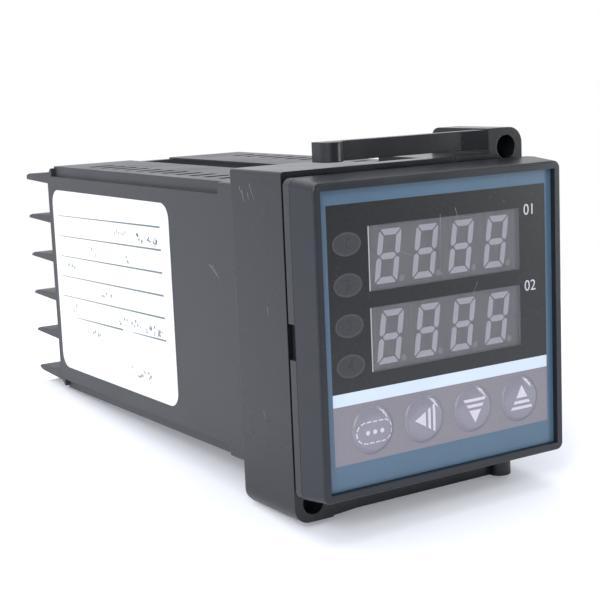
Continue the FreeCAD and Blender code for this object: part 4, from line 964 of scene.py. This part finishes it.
def label_rules():
    """Ruled lines of the label's table, heavier at the front end, where the ink printed best."""
    rear, front = LABEL[1].y - 2.6 * MM, LABEL[0].y + 3.2 * MM
    strips = []
    for row, up in enumerate(LABEL_ROWS):
        ends = ((rear, front),)
        if row == len(LABEL_ROWS) - 1:  # the last line has a gap
            ends = ((rear - 6 * MM, rear - 26 * MM), (rear - 30 * MM, front))
        for back, near in ends:
            low = up + LABEL_SKEW * (middle(LABEL).y - back)
            high = up + LABEL_SKEW * (middle(LABEL).y - near)
            thin, thick = 0.05 * MM, 0.16 * MM
            strips.append([(back, low - thin), (near, high - thick), (near, high + thick),
                           (back, low + thin)])
    return side_sheet("label_rules", LABEL[0].x, strips)


def label_entries():
    """Worn flecks of print where the table's entries stood; they are no letters."""
    chance = random.Random(11)
    front = LABEL[0].y + 3.6 * MM
    # row, start and length along the label, flecks per mm
    cells = ((1, 0.3, 8, 3.2), (1, 13, 5, 1.6), (2, 12, 1.2, 3.0), (2, 26, 4, 0.7),
             (3, 36, 4, 0.7), (4, 20, 6, 0.6), (5, 0.5, 7, 2.6), (5, 9, 9, 1.1),
             (5, 34, 5, 0.8), (6, 25, 7, 0.9), (7.2, 5, 9, 1.6))
    strips = []
    for row, start, length, dense in cells:
        foot = LABEL[1].z - (FIRST_ROW + ROW_PITCH * row - 0.7) * MM
        for _ in range(round(length * dense)):
            near = front + (start + chance.uniform(0, length)) * MM
            low = foot + chance.uniform(0, 1.5) * MM
            wide = chance.uniform(0.2, 0.6) * MM
            tall = chance.uniform(0.15, 0.6) * MM
            strips.append([(near + wide, low), (near, low), (near, low + tall),
                           (near + wide, low + tall)])
    return side_sheet("label_entries", LABEL[0].x, strips)


def stroke(start, end, width):
    """A thin four-cornered outline from one point to another, in mm."""
    first, last = Vector(start) * MM, Vector(end) * MM
    aside = (last - first).orthogonal().normalized() * width * MM / 2
    taper = 0.4
    return [tuple(first - aside), tuple(first + aside),
            tuple(last + aside * taper), tuple(last - aside * taper)]


finish_piece(label_rules(), polyester("label_ink_grey", "#6f7f7f", 0.5), "case")
finish_piece(label_entries(), polyester("label_ink_worn", "#9aa3a5", 0.5), "case")


# ---------------------------------------------------------------- marks of handling

def handling_marks():
    """Hairline scratches on the front film, and pale scuffs on the clamp frame and the case."""
    film = [stroke((-0.2, 17.1), (-0.5, 8.6), 0.07), stroke((-0.5, 8.4), (0.6, 7.1), 0.06),
            stroke((2.7, 17.8), (3.1, 16.4), 0.09), stroke((22.2, 5.9), (21.3, 4.4), 0.09),
            stroke((-8.1, 12.3), (-5.3, 11.3), 0.05), stroke((6.8, 6.0), (5.8, 4.0), 0.06)]
    plate = flat_plate("film_scratches", film, FILM_FRONT - 3 * INK, INK)
    finish_piece(plate, ink_scratch, "chassis")
    frame_marks = [stroke((12.9, 21.6), (12.4, 19.9), 0.16), stroke((10.6, 22.7), (9.3, 20.2), 0.1),
                   stroke((13.6, 22.2), (13.3, 21.4), 0.12),
                   stroke((11.2, 21.3), (10.9, 20.4), 0.12),
                   stroke((6.9, 4.2), (6.7, 3.0), 0.1), stroke((9.4, -12.3), (9.0, -13.6), 0.08)]
    sheet = side_sheet("frame_scuffs", CLAMP[0].x, frame_marks)
    finish_piece(sheet, ink_scratch, "frame")
    case_marks = [stroke((25.8, 8.9), (22.8, 6.9), 0.14), stroke((24.9, 8.9), (23.2, 7.4), 0.08)]
    sheet = side_sheet("case_scuffs", LABEL[1].x, case_marks)
    finish_piece(sheet, ink_scratch, "case")


handling_marks()


# ---------------------------------------------------------------- stage, light and camera

FRAME_TRAVEL = 102 * MM
STEP_DOWN = 12 * MM
TABLE_HALF = 0.7
TABLE_ENDS = (-0.2, 0.8)
FADE = (0.12, 0.2)  # distances from the case's middle


def rest_plane():
    """Point and normal of the table: the clamp's ear and arm and the case's rear stand on it."""
    heel = Vector((CLAMP[0].x + 3.5 * MM, CLAMP[1].y - 1.2 * MM, CLAMP[0].z))
    arm = Vector((19.4 * MM, 4.3 * MM, CLAMP[0].z))
    rear = Vector((CASE[1].x - 2.7 * MM, CASE[1].y, CASE[0].z + 1.6 * MM))
    normal = (arm - heel).cross(rear - heel).normalized()
    if normal.z < 0:
        normal.negate()
    return heel - normal * 0.05 * MM, normal


def make_floor():
    """White table top: near the controller it takes a soft shadow, and it fades to plain white.

    Behind the terminals it steps down, which leaves room for the clamp frame when slid off."""
    point, normal = rest_plane()
    across = normal.cross(Vector((0, 1, 0))).normalized()
    along = normal.cross(across)
    if along.y < 0:
        along.negate()
    step_end = CLAMP[0].y + FRAME_TRAVEL - 0.5 * MM - point.y
    profile = ((TABLE_ENDS[0], 0), (step_end - 2.5 * MM, 0), (step_end, STEP_DOWN),
               (TABLE_ENDS[1], STEP_DOWN))
    corners = [point + across * a + along * b - normal * drop
               for b, drop in profile for a in (-TABLE_HALF, TABLE_HALF)]
    mesh = bpy.data.meshes.new("table_top")
    mesh.from_pydata([tuple(c) for c in corners], [], [(0, 1, 3, 2), (2, 3, 5, 4), (4, 5, 7, 6)])
    floor = link_mesh("table_top", mesh)
    material = bpy.data.materials.new("white_table_paper")
    material.use_nodes = True
    tree = material.node_tree
    tree.nodes.clear()
    paper = put(tree, "ShaderNodeBsdfDiffuse", {"Color": rgb("#f0f2f8")})
    glow = put(tree, "ShaderNodeEmission", {"Color": rgb("#f4f6ff"), "Strength": 0.2})
    lit = put(tree, "ShaderNodeAddShader", {0: paper.outputs[0], 1: glow.outputs[0]})
    white = put(tree, "ShaderNodeEmission", {"Color": rgb("#ffffff"), "Strength": 1.0})
    place = put(tree, "ShaderNodeTexCoord").outputs["Object"]
    reach = put(tree, "ShaderNodeVectorMath", {0: place, 1: tuple(middle(CASE))},
                operation="DISTANCE")
    fade = put(tree, "ShaderNodeMapRange",
               {"Value": reach.outputs["Value"], "From Min": FADE[0], "From Max": FADE[1]},
               interpolation_type="SMOOTHSTEP").outputs["Result"]
    shown = put(tree, "ShaderNodeMixShader", {0: fade, 1: lit.outputs[0], 2: white.outputs[0]})
    seen = put(tree, "ShaderNodeLightPath").outputs["Is Camera Ray"]
    surface = put(tree, "ShaderNodeMixShader", {0: seen, 1: paper.outputs[0], 2: shown.outputs[0]})
    put(tree, "ShaderNodeOutputMaterial", {"Surface": surface.outputs[0]})
    mesh.materials.append(material)


def make_world():
    """White to the eye. As light and in gloss: a white sweep behind, and a dimmer room in front."""
    world = bpy.data.worlds.new("white_surround")
    bpy.context.scene.world = world
    world.use_nodes = True
    tree = world.node_tree
    tree.nodes.clear()
    path = put(tree, "ShaderNodeLightPath")
    seen = put(tree, "ShaderNodeMath",
               {0: path.outputs["Is Camera Ray"], 1: path.outputs["Is Transmission Ray"]},
               operation="MAXIMUM")
    heading = put(tree, "ShaderNodeSeparateXYZ",
                  {0: put(tree, "ShaderNodeTexCoord").outputs["Generated"]})
    sweep = put(tree, "ShaderNodeMapRange",
                {"Value": heading.outputs["Y"], "From Min": -0.7, "From Max": 0.2,
                 "To Min": 0.35, "To Max": 1.0})
    white = put(tree, "ShaderNodeBackground", {"Color": rgb("#ffffff"), "Strength": 1.0})
    room = put(tree, "ShaderNodeBackground",
               {"Color": rgb("#f8f9ff"), "Strength": sweep.outputs["Result"]})
    mixed = put(tree, "ShaderNodeMixShader",
                {0: seen.outputs[0], 1: room.outputs[0], 2: white.outputs[0]})
    put(tree, "ShaderNodeOutputWorld", {"Surface": mixed.outputs[0]})


def soft_lamp(name, place, aim, size, power):
    light = bpy.data.lights.new(name, "AREA")
    light.shape = "RECTANGLE"
    light.size, light.size_y = size
    light.energy = power
    lamp = bpy.data.objects.new(name, light)
    lamp.location = place
    lamp.rotation_euler = (Vector(aim) - Vector(place)).to_track_quat("-Z", "Y").to_euler()
    bpy.context.scene.collection.objects.link(lamp)


def make_camera():
    """Camera to the front left and a little above, looking past the case's front left edge."""
    place = Vector((-131.6, -170.9, 39.7)) * MM
    aim = Vector((-25.0, -4.9, 6.94)) * MM
    roll = math.radians(-2.42)
    camera_data = bpy.data.cameras.new("camera")
    camera_data.sensor_width = 36.0
    camera_data.lens = 84.0
    camera_data.clip_start = 0.01
    camera_data.clip_end = 20.0
    camera = bpy.data.objects.new("camera", camera_data)
    bpy.context.scene.collection.objects.link(camera)
    forward = (aim - place).normalized()
    right = forward.cross(Vector((0, 0, 1))).normalized()
    right = Matrix.Rotation(roll, 3, -forward) @ right
    up = right.cross(forward)
    camera.matrix_world = Matrix(((right.x, up.x, -forward.x, place.x),
                                  (right.y, up.y, -forward.y, place.y),
                                  (right.z, up.z, -forward.z, place.z), (0, 0, 0, 1)))
    bpy.context.scene.camera = camera


make_floor()
make_world()
# place, aim and size in metres, and power in watts
soft_lamp("overhead_softbox", (-0.05, 0.2, 0.75), (0, 0.03, 0), (0.9, 0.9), 2.6)
soft_lamp("front_left_softbox", (-0.6, -0.5, 0.35), (0, 0.03, 0), (0.7, 0.7), 4.0)
soft_lamp("right_front_strip", (0.6, -0.42, 0.05), (0, 0, 0), (0.12, 0.6), 1.7)
soft_lamp("key_lamp", (-0.5, -0.42, 0.42), (0, 0, 0), (0.14, 0.14), 0.9)
make_camera()
bpy.context.scene.view_settings.view_transform = "Standard"
